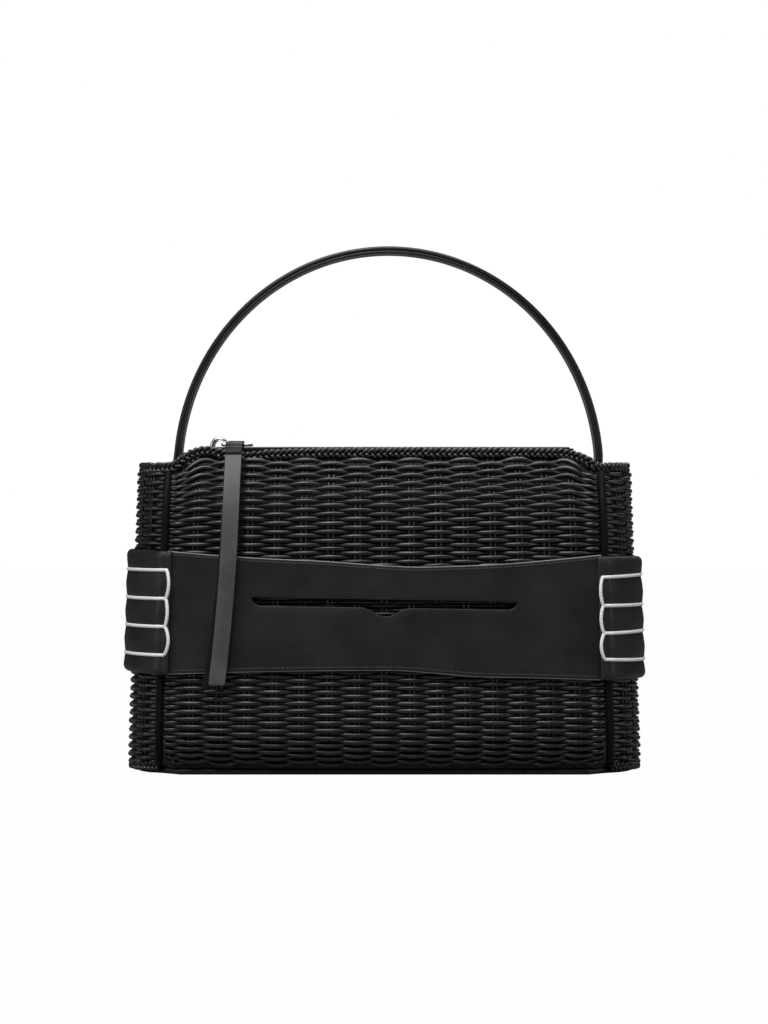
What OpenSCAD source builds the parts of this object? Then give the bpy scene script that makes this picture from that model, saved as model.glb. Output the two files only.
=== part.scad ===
// Top-handle bag: a woven box with a leather belt laced to its side walls,
// a zipped leather closure with a long pull strip, and one arched carrying strap.
// The base lies on z = 0, the front faces -y and the zip runs along x.

/* [Basket] */
// Width of the front and back walls at the base
wall_w_base = 261; // [235:1:290]
// Width of the front and back walls at the rim
wall_w_rim = 249; // [232:1:280]
// How far a side wall bulges past the ends of the front wall
side_bulge = 20.3; // [16:0.1:26]
// Depth between the ends of the front and back walls at belt height
basket_d = 88; // [80:1:110]
// How far the front and back walls bow out at their middle
wall_bow = 4; // [1:0.5:8]
// Height of the front and back walls, below the rim braid
wall_top = 185.5; // [175:0.5:215]
// How far the front and back walls drop towards their corners, along the wall
corner_drop = 11; // [4:0.5:16]
// Thickness of a woven wall without its ridges
wall_t = 4.5; // [3.5:0.1:6]
// Height of the curved shoulder below the rim
shoulder_h = 40; // [25:1:48]
// How far the shoulder leans back at the rim, in degrees
shoulder_tilt = 46; // [25:1:52]
// Height of the curved foot above the base
foot_h = 30; // [20:1:40]
// How far the foot turns under at the base, in degrees
foot_tilt = 45; // [20:1:50]
// Radius of the front wall's lower corners
foot_corner = 10; // [4:0.5:16]
// Thickness of the base board
base_t = 3.4; // [2:0.1:6]
// How far the base board reaches past the foot of the front wall
base_lip = 2; // [0:0.1:4]

/* [Weave] */
// Distance between the stakes of a wall
stake_gap = 16; // [13:0.5:22]
// Distance between two rows of weavers
row_gap = 2.5; // [2.3:0.1:5]
// Height of a weaver's bulge over and under the wall's face
weave_relief = 1.2; // [0.6:0.1:1.6]
// Diameter of the corner posts
post_d = 4.4; // [3:0.1:6]
// Height of the rim braid
braid_h = 7; // [5:0.1:9]
// Width of the rim braid
braid_w = 7; // [5:0.1:9]
// Distance between the crossings of the rim braid
braid_gap = 3.2; // [3:0.1:6]
// Depth of the rim braid's strands
braid_relief = 0.6; // [0.2:0.1:0.8]

/* [Belt] */
// Height of the belt's lower edge at its ends
belt_low = 59.8; // [52:0.1:66]
// Height of the belt's upper edge at its ends
belt_high = 132; // [122:0.1:138]
// How far the upper edge dips at the middle
belt_dip = 8.7; // [0:0.1:14]
// How far the lower edge rises at the middle
belt_rise = 2.4; // [0:0.1:8]
// Thickness of the belt's leather
belt_t = 2.2; // [1.2:0.1:3.5]
// Length of the slot in the belt
slot_w = 154; // [90:1:200]
// Height of the slot
slot_h = 4.6; // [3:0.1:8]
// Height of the slot's upper edge above the base
slot_high = 103; // [98:0.1:110]
// Width of the notch in the slot's lower edge
notch_w = 26; // [14:0.5:40]
// Depth of the notch
notch_h = 3.8; // [1:0.1:6]
// Thickness of the leather wraps round the side walls
wrap_t = 2.6; // [2:0.1:4]
// Diameter of the lacing cord
lace_d = 2; // [1.2:0.1:2.6]
// Distance between the lacing cord's hoops
lace_gap = 16.5; // [12:0.1:18]
// How much lower the right wrap sits than the left one
wrap_drop = 3; // [0:0.1:5]
// Height of the middle of the lacing above the base
lace_mid = 93.8; // [88:0.1:100]
// How far the lacing cord bows out between two hoops
lace_bow = 1.6; // [0.8:0.1:2.5]

/* [Carrying strap] */
// Width between the middles of the strap's legs at the rim
strap_span = 252; // [236:1:264]
// Height of the strap's highest point above the base
strap_top = 313.5; // [280:0.5:340]
// Thickness of the outer leather
strap_outer_t = 2.7; // [1.5:0.1:4]
// Thickness of the lining leather
strap_lining_t = 1.9; // [1:0.1:3]
// Width of the strap
strap_w = 16; // [10:0.5:22]
// How far the strap's ends reach below the rim of the side walls
strap_tail = 62; // [45:1:90]

/* [Zip] */
// Length of the zipped closure
closure_w = 224; // [216:1:228]
// Thickness of the closure's leather
closure_t = 1.2; // [0.8:0.1:2]
// Width of the opening between the closure's halves
closure_gap = 10.6; // [10.4:0.1:13]
// Thickness of the zip tape
tape_t = 0.6; // [0.4:0.1:0.9]
// Width of one zip tape
tape_w = 11; // [8:0.5:14]
// Distance between the teeth of one tape
tooth_gap = 2.8; // [2.4:0.1:4]
// Thickness of a tooth, upwards
tooth_h = 2.6; // [1.8:0.1:3]
// Length of the slider
slider_w = 13; // [11:0.1:15]
// Width of the slider
slider_d = 9.2; // [8.4:0.1:10]
// How far the closed slider's middle stands from the closure's end
slider_inset = 13; // [11:0.5:17]
// Length of the slider's arched bridge
bridge_w = 11.4; // [9:0.1:13]
// Height of the bridge above the slider
bridge_h = 6.3; // [5:0.1:8]
// Diameter of the pull ring's wire
ring_wire = 1.8; // [1.2:0.1:2]
// Length of the pull ring, along the zip
ring_w = 17; // [15:0.1:22]
// Width of the pull ring
ring_d = 15; // [13:0.1:18]

/* [Pull] */
// Width of the pull's leather
pull_w = 9.7; // [7:0.1:10]
// Thickness of one layer of the pull's leather
pull_t = 1.1; // [0.8:0.1:1.5]
// Height of the lower end of the front tail above the base
pull_low = 53.7; // [40:0.1:100]
// How far the front tail leans sideways at its end
pull_lean = 9.6; // [0:0.1:16]
// How much lower the rear tail ends
tail_drop = 2.3; // [0:0.1:8]
// How much further the rear tail leans
tail_lean = 5.6; // [0:0.1:10]

/* [Lining] */
// Thickness of the fabric lining
lining_t = 0.8; // [0.5:0.1:1.5]

/* [Hidden] */
$fn = 48;
fit = 0.3;
half_d = basket_d / 2;
face_out = wall_t / 2 + weave_relief;

// The wall's profile: a curved foot, a straight middle and a curved shoulder
shoulder_r = shoulder_h / sin(shoulder_tilt);
foot_r = foot_h / sin(foot_tilt);
wall_z0 = base_t + fit + face_out * sin(foot_tilt);
foot_z = wall_z0 + foot_h;
shoulder_z = wall_top - shoulder_h;
foot_len = foot_r * foot_tilt * PI / 180;
straight_len = shoulder_z - foot_z;
wall_len = foot_len + straight_len + shoulder_r * shoulder_tilt * PI / 180;
corner_start = 0.84;

// The side walls, the corner posts and the rim
side_gap = 2.5;
side_tuck = 6;
side_z0 = 1;
side_top = z_at(wall_len - corner_drop);
wall_cols = 4 * round(wall_w_base / stake_gap / 4);
braid_seat = norm([braid_w / 4, braid_h / 2]) + fit;
rim_mid = rim_at(0);
rim_high = rim_mid[2] + braid_h / 2;

// Columns and rows of the weave, which is flat behind the belt
belt_cover = 0.6;
wall_inner = 4;
side_cols = 6;
side_inner = 6;
band_low = belt_low + belt_rise + belt_cover;
band_high = belt_high - belt_dip - belt_cover;
low_rows = round((foot_len + band_low - foot_z) / row_gap);
high_rows = round((wall_len - foot_len - band_high + foot_z) / row_gap);
side_low_rows = round((band_low - side_z0) / row_gap);
side_high_rows = round((side_top - band_high) / row_gap);

// The belt, its wraps and its lacing
belt_mid = (belt_low + belt_high) / 2;
belt_inset = 1.2;
belt_half = half_w(belt_mid) - belt_inset;
wrap_room = 1;
wrap_reach = half_w(belt_mid) + side_bulge + face_out + wrap_room;
post_keep = post_d / 2 + 2 * wrap_room;
post_in = wrap_reach - half_w(belt_mid) - post_d / 2 - fit;
wrap_r = (pow(post_in, 2) + pow(half_d, 2) - pow(post_keep, 2)) / 2 / (post_in - post_keep);
wrap_x = wrap_reach - wrap_r;
wrap_angle = acos((half_w(belt_mid) - wrap_x) / wrap_r);
wrap_corner = 1.8;
side_lean = atan((wall_w_base - wall_w_rim) / 2 / wall_top);
lace_hoops = 4;
lace_r = wrap_r + wrap_t;
lace_room = 0.1;

// The carrying strap
strap_rise = strap_top - strap_outer_t - side_top;
strap_arch = 40;
strap_bends = 12;
strap_seat = 0.6;
inside_d = wall_t / 2 + fit + lining_t + strap_seat;
inside_r = arc_r(half_d - side_tuck, side_bulge - side_gap) - inside_d;
strap_in = side_bulge - inside_d - strap_outer_t - pow(strap_w / 2, 2) / 2 / inside_r;

// The zip: closure, tapes, teeth, slider and ring
closure_top = rim_high + fit;
tape_top = closure_top - closure_t;
zip_z = tape_top - tape_t / 2;
closure_seat = braid_w / 2 - braid_w / 2 / braid_h * (tape_top - rim_mid[2]) + fit;
tape_edge = 1.6;
tooth_reach = 0.9;
tooth_root = 3.2;
slider_rest = closure_w / 2 - slider_inset;
slider_room = 0.2;
tooth_w = tooth_gap / 2 - slider_room;
slider_plate = 1.2;
slider_high = zip_z + tooth_h / 2 + slider_room + slider_plate;
slider_low = zip_z - tooth_h / 2 - slider_room - slider_plate;
slider_post_d = 2.2;
slider_post_x = 4;
bridge_d = 4.2;
bridge_t = 1.5;
stop_w = 1.6;
open_short = 2;
zip_travel = 2 * slider_rest - open_short;
zip_start = slider_post_d / 2 + slider_room - slider_post_x - slider_rest;
zip_end = -slider_rest + slider_w / 2 + zip_travel;
loop_room = 0.2;
loop_lift = 0.5;
loop_r = ring_wire / 2 + loop_room + pull_t;
ring_z = closure_top + loop_lift + loop_r;
ring_shift = 2;
ring_x = ring_shift - slider_rest;
ring_corner = 1.7;

// The pull drapes over the rim, along the shoulder and down in front of the belt
pull_x = -ring_x - ring_w / 2;
pull_z = ring_z - pull_t;
pull_gap = 0.8;
pull_y = half_d + wall_bow + face_out + fit + belt_t + pull_gap;
drape_y = shoulder_r - half_d;
drape_r = pull_y + drape_y;
bend_r = 7;
drape_tilt = asin((pull_z - bend_r - shoulder_z) / (drape_r - bend_r));
bend_y = drape_y - (drape_r - bend_r) * cos(drape_tilt);
bend_len = bend_r * (90 - drape_tilt) * PI / 180;
drape_len = drape_r * drape_tilt * PI / 180;
tab_drop = 6;
tab_len = bend_len + tab_drop;
tab_lap = 5;
loop_y = -ring_d / 2;
lining_short = 2;
lining_top = side_top - lining_short;

wicker = "#1b1b1d";
leather = "#2b2b2d";
cord_white = "#e6e3da";
metal = "#c9cacc";

// Small helpers
function mix(a, b, t) = a + (b - a) * t;
function unit(v) = v / norm(v);
function ease(t) = let (c = min(1, max(0, t))) c * c * (3 - 2 * c);
function turned(list) = [for (i = [len(list) - 1:-1:0]) list[i]];
function flip_x(p) = [-p[0], p[1], p[2]];
function flip_y(p) = [p[0], -p[1], p[2]];

// Radius and half angle of an arc with half chord h and rise s
function arc_r(h, s) = (h * h + s * s) / (2 * s);
function arc_half(h, s) = 2 * atan2(s, h);

// The wall's profile by the length s along it, and by the height z
function tilt_at(s) =
    s < foot_len ? s / foot_r * 180 / PI - foot_tilt :
    s < foot_len + straight_len ? 0 : (s - foot_len - straight_len) / shoulder_r * 180 / PI;
function z_at(s) =
    s < foot_len ? foot_z + foot_r * sin(tilt_at(s)) :
    s < foot_len + straight_len ? foot_z + s - foot_len : shoulder_z + shoulder_r * sin(tilt_at(s));
function tilt_z(z) =
    z < foot_z ? -asin((foot_z - max(z, wall_z0)) / foot_r) :
    z > shoulder_z ? asin(min(1, (z - shoulder_z) / shoulder_r)) : 0;
function setback(tilt) = (tilt < 0 ? foot_r : shoulder_r) * (1 - cos(tilt));
function half_w(z) = mix(wall_w_base, wall_w_rim, z / wall_top) / 2;
function foot_inset(z) =
    let (rise = max(0, foot_corner - z + wall_z0))
    foot_corner - sqrt(max(0, foot_corner * foot_corner - rise * rise));

// A point of the front wall's middle and the way that its face looks, with u from -1 to 1 across
function wall_at(u, s) =
    let (z = z_at(s), tilt = tilt_at(s))
    [[u * (half_w(z) - foot_inset(z)), setback(tilt) - half_d - wall_bow * (1 - u * u), z],
     [0, -cos(tilt), sin(tilt)]];
function wall_end(u) = wall_len - corner_drop * ease((abs(u) - corner_start) / (1 - corner_start));

// A point of the right side wall's middle and the way that its face looks, with v from front to back
function side_at(v, z) =
    let (h = half_d - setback(tilt_z(z)) - side_tuck, rise = side_bulge - side_gap)
    let (r = arc_r(h, rise), turn = v * arc_half(h, rise))
    [[half_w(z) + side_bulge - r + r * cos(turn), r * sin(turn), z], [cos(turn), sin(turn), 0]];
function off(at, d) = at[0] + d * at[1];

// Height of the weave at row i and stake j: over and under in turn, and flat behind the belt
function ridge(i, j, flat_row) =
    i == flat_row || i == flat_row + 1 || (i + j) % 2 == 0 ? weave_relief : -weave_relief;

// Length along the front wall, or height of the side wall, at row i
function wall_row(i, u) =
    i <= low_rows ? (foot_len + band_low - foot_z) * i / low_rows :
    mix(foot_len + band_high - foot_z, wall_end(u), (i - low_rows - 1) / high_rows);
function side_row(i) =
    i <= side_low_rows ? mix(side_z0, band_low, i / side_low_rows) :
    mix(band_high, side_top, (i - side_low_rows - 1) / side_high_rows);
function across(j, n) = 2 * j / n - 1;

// Cap of a wall's end row: its stakes' points outside are fanned to its few points inside
function wall_cap(start, cols, inner) =
    let (step = cols / inner)
    [for (k = [0:inner - 1])
        let (a = start + cols + 1 + inner - k)
        each concat(
            [for (j = [0:step - 1]) [start + k * step + j, start + k * step + j + 1, a]],
            [[start + (k + 1) * step, a - 1, a]])];

// Solid skinned through closed loops of equal length; a ring of loops has no end caps,
// and a wall's loops name their points outside and inside
module skin(loops, ring = false, cols = 0, inner = 0) {
    n = len(loops[0]);
    m = len(loops);
    sides = [
        for (i = [0:ring ? m - 1 : m - 2]) for (j = [0:n - 1])
            let (a = i * n + j, b = i * n + (j + 1) % n)
            let (d = (i + 1) % m * n + j, c = (i + 1) % m * n + (j + 1) % n)
            each (i + j) % 2 == 0 ? [[a, d, b], [b, d, c]] : [[a, c, b], [a, d, c]]
    ];
    caps =
        ring ? [] :
        cols > 0 ? concat(wall_cap(0, cols, inner),
            [for (f = wall_cap((m - 1) * n, cols, inner)) turned(f)]) :
        [[for (j = [0:n - 1]) j], [for (j = [n - 1:-1:0]) (m - 1) * n + j]];
    polyhedron([for (loop = loops) each loop], concat(sides, caps), convexity = 8);
}

// A wall of stakes and weavers, with ridges outside and a plain inside
module woven_wall() {
    loops = [
        for (i = [0:low_rows + high_rows + 1]) concat(
            [for (j = [0:wall_cols])
                let (u = across(j, wall_cols))
                off(wall_at(u, wall_row(i, u)), wall_t / 2 + ridge(i, j, low_rows))],
            [for (k = [wall_inner:-1:0])
                let (u = across(k, wall_inner))
                off(wall_at(u, wall_row(i, u)), -wall_t / 2)])
    ];
    skin(loops, cols = wall_cols, inner = wall_inner);
}

module woven_side() {
    loops = [
        for (i = [0:side_low_rows + side_high_rows + 1]) concat(
            [for (j = [0:side_cols])
                off(side_at(across(j, side_cols), side_row(i)),
                    wall_t / 2 + ridge(i, j, side_low_rows))],
            [for (k = [side_inner:-1:0])
                off(side_at(across(k, side_inner), side_row(i)), -wall_t / 2)])
    ];
    skin(loops, cols = side_cols, inner = side_inner);
}

module front_wall() color(wicker) woven_wall();
module back_wall() color(wicker) mirror([0, 1, 0]) woven_wall();
module right_side() color(wicker) woven_side();
module left_side() color(wicker) mirror([1, 0, 0]) woven_side();

// Board under the walls, with round ends that fit inside the side walls
module base_board() {
    front_y = half_d - setback(-foot_tilt) + base_lip;
    front_x = half_w(0) - foot_corner;
    end = [for (k = [0:side_inner]) off(side_at(across(k, side_inner), wall_z0), -wall_t / 2 - fit)];
    right = concat([[front_x, -front_y]], [for (p = end) [p[0], p[1]]], [[front_x, front_y]]);
    left = [for (p = turned(right)) [-p[0], p[1]]];
    color(leather) linear_extrude(base_t) polygon(concat(right, left));
}

// Round posts in the grooves between the front or back wall and the side walls
module corner_posts() {
    low = base_t + fit;
    steps = 12;
    loops = [
        for (k = [0:steps])
            let (z = mix(low, side_top - fit, k / steps))
            let (x = half_w(z) + post_d / 2 + fit, y = setback(tilt_z(z)) - half_d)
            [for (j = [0:7]) [x + post_d / 2 * cos(45 * j), y + post_d / 2 * sin(45 * j), z]]
    ];
    color(wicker)
    for (mx = [0, 1], my = [0, 1]) mirror([mx, 0, 0]) mirror([0, my, 0]) skin(loops);
}

// Middle line of the rim braid round the mouth of the basket, square to the walls' upper edges
function stake_end(u) =
    let (p = (u + 1) / 2 * wall_cols, j = max(0, min(wall_cols - 1, floor(p))))
    mix(wall_end(across(j, wall_cols)), wall_end(across(j + 1, wall_cols)), p - j);
function edge_at(u) = wall_at(u, stake_end(u))[0];
function rim_at(u) =
    let (step = 0.01, along = unit(edge_at(u + step) - edge_at(u - step)))
    edge_at(u) + braid_seat * unit(cross(wall_at(u, stake_end(u))[1], along));
function rim_front(n) = [for (j = [0:n]) rim_at(across(j, n))];
function rim_side(n) = [
    for (j = [0:n]) side_at(across(j, n), side_top)[0] + [0, 0, braid_h / 2 + fit]
];
function rim_line() =
    let (nf = 2 * round(wall_w_rim / braid_gap / 2) + 1)
    let (ns = 2 * round((basket_d + side_bulge) / braid_gap / 2) - 5)
    let (front = rim_front(nf), right = rim_side(ns))
    concat(front, right, [for (p = turned(front)) flip_y(p)], [for (p = turned(right)) flip_x(p)]);

// Plaited border: a six-sided tube whose sides stand out and in by turns
module rim_braid() {
    line = rim_line();
    n = len(line);
    rings = [
        for (i = [0:n - 1])
            let (along = unit(line[(i + 1) % n] - line[(i + n - 1) % n]))
            let (out = unit(cross(along, [0, 0, 1])), up = cross(out, along))
            [for (j = [5:-1:0])
                let (r = (i + j) % 2 == 0 ? 1 : 1 - 2 * braid_relief / braid_w)
                line[i] + r * (braid_w / 2 * cos(60 * j) * out + braid_h / sqrt(3) * sin(60 * j) * up)]
    ];
    color(wicker) skin(rings, ring = true);
}

// Front view of the belt, with its hollow edges
module belt_outline() {
    n = 24;
    high = [for (k = [0:n]) let (u = across(k, n)) [u * belt_half, belt_high - belt_dip * (1 - u * u)]];
    low = [for (k = [n:-1:0]) let (u = across(k, n)) [u * belt_half, belt_low + belt_rise * (1 - u * u)]];
    polygon(concat(high, low));
}

// Long slot with slanted ends and a notch in its lower edge
module slot_outline() {
    low = slot_high - slot_h;
    slant = slot_h;
    polygon([
        [-slot_w / 2, slot_high], [slot_w / 2, slot_high], [slot_w / 2 - slant, low],
        [notch_w / 2, low], [notch_w / 2 - 2 * notch_h, low - notch_h],
        [2 * notch_h - notch_w / 2, low - notch_h], [-notch_w / 2, low], [slant - slot_w / 2, low]
    ]);
}

// Sheet of leather bent along the front wall's face at belt height
module belt_sheet() {
    n = 24;
    face = [
        for (k = [0:n])
            let (x = belt_half * across(k, n), u = x / half_w(belt_mid))
            [x, -half_d - wall_bow * (1 - u * u) - face_out - fit]
    ];
    linear_extrude(belt_high + 1) polygon(concat(face, [for (p = turned(face)) p - [0, belt_t]]));
}

module belt_cut() rotate([90, 0, 0]) linear_extrude(2 * pull_y) children();

module belt_front() {
    color(leather) difference() {
        intersection() {
            belt_sheet();
            belt_cut() belt_outline();
        }
        belt_cut() slot_outline();
    }
}

module belt_back() {
    color(leather) mirror([0, 1, 0]) intersection() {
        belt_sheet();
        belt_cut() belt_outline();
    }
}

// Places a piece that is turned about the right wrap's axis, with z from the middle of the belt
module at_wrap() translate([wrap_x, 0, belt_mid]) rotate([0, -side_lean, 0]) children();

// Height of a lacing hoop from the middle of the belt
function hoop_z(k) = lace_mid - belt_mid + (k - (lace_hoops - 1) / 2) * lace_gap;

module wrap_profile() {
    tall = belt_high - belt_low;
    translate([wrap_r, -tall / 2]) square([wrap_t - wrap_corner, tall]);
    translate([wrap_r, wrap_corner - tall / 2]) square([wrap_t, tall - 2 * wrap_corner]);
    for (side = [-1, 1])
        translate([wrap_r + wrap_t - wrap_corner, side * (tall / 2 - wrap_corner)]) circle(wrap_corner);
}

// Leather round a side wall, pressed in by the lacing
module wrap() {
    color(leather) at_wrap() difference() {
        rotate([0, 0, -wrap_angle]) rotate_extrude(angle = 2 * wrap_angle, $fn = 192) wrap_profile();
        for (k = [0:lace_hoops - 1])
            translate([0, 0, hoop_z(k)]) rotate_extrude($fn = 192)
            translate([lace_r, 0]) circle(lace_d / 2 + lace_room);
    }
}

module right_wrap() translate([0, 0, -wrap_drop]) wrap();
module left_wrap() mirror([1, 0, 0]) wrap();

// One run of the cord between two hoops, at the end of the wrap
module lace_run(low) {
    chord = lace_gap / 2 - lace_d / 2 - lace_room;
    r = arc_r(chord, lace_bow);
    turn = arc_half(chord, lace_bow);
    translate([lace_r + lace_d / 2 + lace_room, 0, low + lace_gap / 2])
    rotate([90, 0, 90]) translate([r - lace_bow, 0, 0]) rotate([0, 0, 180 - turn])
    rotate_extrude(angle = 2 * turn) translate([r, 0]) circle(lace_d / 2);
}

// Cord round a wrap: hoops, joined at the front and the back by short runs
module lacing() {
    run_angle = wrap_angle - lace_d / lace_r * 90 / PI;
    color(cord_white) at_wrap() {
        for (k = [0:lace_hoops - 1])
            translate([0, 0, hoop_z(k)]) rotate([0, 0, -wrap_angle])
            rotate_extrude(angle = 2 * wrap_angle, $fn = 192) translate([lace_r, 0]) circle(lace_d / 2);
        for (k = [0:lace_hoops - 2]) {
            rotate([0, 0, -run_angle]) lace_run(hoop_z(k));
            mirror([0, 1, 0]) rotate([0, 0, -run_angle]) lace_run(hoop_z(k));
        }
    }
}

module right_lacing() translate([0, 0, -wrap_drop]) lacing();
module left_lacing() mirror([1, 0, 0]) lacing();

// Middle line of the strap: an arch, then a leg that bends out to the inside of the side wall
function strap_leg(side) = [
    for (k = [1:strap_bends])
        let (t = k / strap_bends, z = side_top - strap_tail * t)
        [side * mix(strap_span / 2, half_w(z) + strap_in, ease(1.6 * t - 0.2)), z]
];
function strap_line() = concat(
    turned(strap_leg(1)),
    [for (k = [0:strap_arch])
        let (turn = 180 * k / strap_arch)
        [strap_span / 2 * cos(turn), side_top + strap_rise * sin(turn)]],
    strap_leg(-1));

// The strap's line moved sideways by d, outwards when d is positive
function strap_offset(d) =
    let (line = strap_line(), n = len(line) - 1)
    [for (i = [0:n])
        let (along = unit(line[min(i + 1, n)] - line[max(i - 1, 0)]))
        line[i] + d * [along[1], -along[0]]];

module strap_layer(inner, outer) {
    translate([0, strap_w / 2, 0]) rotate([90, 0, 0]) linear_extrude(strap_w)
    polygon(concat(strap_offset(outer), turned(strap_offset(inner))));
}

module strap_outer() color(leather) strap_layer(0, strap_outer_t);
module strap_lining() color("#3a3a3c") strap_layer(-strap_lining_t, 0);

// Closed loop of the basket's inside at height z, moved inwards by d
function inside_front(z, d, n) = [
    for (j = [0:n])
        let (u = across(j, n), tilt = tilt_z(z))
        [u * (half_w(z) - foot_inset(z)),
         setback(tilt) - half_d - wall_bow * (1 - u * u) + d / cos(tilt), z]
];
function inside_loop(z, d) =
    let (front = inside_front(z, d, wall_inner))
    let (right = [for (k = [0:side_inner]) off(side_at(across(k, side_inner), z), -d)])
    concat(front, right, [for (p = turned(front)) flip_y(p)], [for (p = turned(right)) flip_x(p)]);

// Fabric bag inside the walls, open at the top
module lining() {
    low = base_t + fit;
    d = wall_t / 2 + fit;
    heights = [
        for (k = [0:4]) mix(wall_z0, foot_z, k / 4),
        for (k = [0:6]) mix(shoulder_z, lining_top, k / 6)
    ];
    outer = concat([inside_loop(low, d)], [for (z = heights) inside_loop(z, d)]);
    inner = concat([inside_loop(low + lining_t, d + lining_t)],
        [for (z = heights) inside_loop(z, d + lining_t)]);
    color("#202022") skin(concat(outer, turned(inner)));
}

// Front half of the leather closure, from the rim braid to the zip
module closure_half() {
    n = 16;
    edge = [
        for (k = [0:n])
            let (x = closure_w / 2 * across(k, n), u = 2 * x / wall_w_rim)
            [x, rim_mid[1] + wall_bow * u * u + closure_seat]
    ];
    back = [[closure_w / 2, -closure_gap / 2], [-closure_w / 2, -closure_gap / 2]];
    translate([0, 0, tape_top]) linear_extrude(closure_t) polygon(concat(edge, back));
}

module closure_front() color(leather) closure_half();
module closure_back() color(leather) mirror([0, 1, 0]) closure_half();

module zip_tape() {
    translate([-closure_w / 2, -tape_edge - tape_w, tape_top - tape_t]) cube([closure_w, tape_w, tape_t]);
}

module zip_tape_front() color("#161617") zip_tape();
module zip_tape_back() color("#161617") mirror([0, 1, 0]) zip_tape();

// One tooth, clamped over the edge of the front tape
module tooth() {
    difference() {
        translate([-tooth_w / 2, -tooth_root, zip_z - tooth_h / 2])
            cube([tooth_w, tooth_root + tooth_reach, tooth_h]);
        translate([-tooth_w, -tooth_root - 1, zip_z - tape_t / 2])
            cube([2 * tooth_w, tooth_root + 1 - tape_edge, tape_t]);
    }
}

module teeth(start) {
    for (x = [start:tooth_gap:zip_end - tooth_w]) translate([x, 0, 0]) tooth();
}

module zip_teeth_front() color(metal) teeth(zip_start + tooth_w / 2);
module zip_teeth_back() color(metal) mirror([0, 1, 0]) teeth(zip_start + tooth_w / 2 + tooth_gap / 2);

// Stops: one on each tape at the closed end, and one across both at the open end
module zip_stops() {
    closed_x = -slider_rest - slider_w / 2 - slider_room - stop_w;
    tall = tooth_h - 0.4;
    color(metal) {
        for (side = [0, 1]) mirror([0, side, 0]) difference() {
            translate([closed_x, -tooth_root, zip_z - tall / 2]) cube([stop_w, tooth_root - 0.6, tall]);
            translate([closed_x - 1, -tooth_root - 1, zip_z - tape_t / 2])
                cube([stop_w + 2, tooth_root + 1 - tape_edge, tape_t]);
        }
        difference() {
            translate([zip_end + slider_room, -tooth_root, zip_z - tall / 2])
                cube([2 * stop_w, 2 * tooth_root, tall]);
            for (side = [0, 1]) mirror([0, side, 0])
                translate([zip_end - 1, -tooth_root - 1, zip_z - tape_t / 2])
                cube([2 * stop_w + 3, tooth_root + 1 - tape_edge, tape_t]);
        }
    }
}

// Slider outline from above: wide at the closing end, with rounded corners
module slider_outline() {
    corner = 2;
    square([slider_w - 2 * corner, slider_d], center = true);
    square([slider_w, slider_d - 2 * corner], center = true);
    for (x = [-1, 1], y = [-1, 1])
        translate([x * (slider_w / 2 - corner), y * (slider_d / 2 - corner)]) circle(corner);
}

// Half of an oval above the slider's upper face, for the bridge and the opening under it
module bridge_oval(w, h) {
    n = 24;
    polygon([for (k = [0:n]) [w / 2 * cos(180 * k / n), h * sin(180 * k / n)]]);
}

// Arched bridge on the slider, which holds the ring
module bridge() {
    sunk = 0.1;
    translate([-slider_rest, bridge_d / 2, slider_high - sunk]) rotate([90, 0, 0])
    linear_extrude(bridge_d) difference() {
        bridge_oval(bridge_w, bridge_h + sunk);
        translate([0, sunk]) bridge_oval(bridge_w - 2 * bridge_t, bridge_h - bridge_t);
    }
}

module zip_slider() {
    duct_h = tooth_h + 2 * slider_room;
    duct_d = 2 * (tooth_root + slider_room);
    color(metal) {
        difference() {
            translate([-slider_rest, 0, slider_low])
                linear_extrude(slider_high - slider_low) slider_outline();
            translate([-slider_rest - slider_w, -duct_d / 2, zip_z - duct_h / 2])
                cube([2 * slider_w, duct_d, duct_h]);
            translate([-slider_rest - slider_w, -slider_d, zip_z - tape_t / 2 - slider_room])
                cube([2 * slider_w, 2 * slider_d, tape_t + 2 * slider_room]);
        }
        translate([-slider_rest - slider_post_x, 0, zip_z - duct_h / 2 - 0.1])
            cylinder(d = slider_post_d, h = duct_h + 0.2);
        bridge();
    }
}

// Straight piece and corner of the ring's wire
module ring_bar(len) rotate([0, 90, 0]) cylinder(d = ring_wire, h = len);
module ring_bend() rotate_extrude(angle = 90) translate([ring_corner, 0]) circle(d = ring_wire);

// Four-sided wire ring: its left bar turns under the bridge and its front bar carries the pull
module pull_ring() {
    long = ring_w - 2 * ring_corner;
    wide = ring_d - 2 * ring_corner;
    color(metal) translate([ring_x, 0, ring_z]) {
        for (y = [-1, 1]) translate([ring_corner, y * ring_d / 2, 0]) ring_bar(long);
        for (x = [0, ring_w]) translate([x, -wide / 2, 0]) rotate([0, 0, 90]) ring_bar(wide);
        translate([ring_w - ring_corner, wide / 2, 0]) ring_bend();
        translate([ring_corner, wide / 2, 0]) rotate([0, 0, 90]) ring_bend();
        translate([ring_corner, -wide / 2, 0]) rotate([0, 0, 180]) ring_bend();
        translate([ring_w - ring_corner, -wide / 2, 0]) rotate([0, 0, 270]) ring_bend();
    }
}

// Point of the pull's inner face at length t from the bend over the rim, moved outwards by d
function drape_turn(t) =
    t < bend_len ? 90 - t / bend_r * 180 / PI :
    max(0, drape_tilt - (t - bend_len) / drape_r * 180 / PI);
function drape(t, d) =
    let (turn = drape_turn(t), out = [-cos(turn), sin(turn)])
    t < bend_len ? [bend_y, pull_z - bend_r] + (bend_r + d) * out :
    [drape_y, shoulder_z] + (drape_r + d) * out - [0, max(0, t - bend_len - drape_len)];

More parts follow.
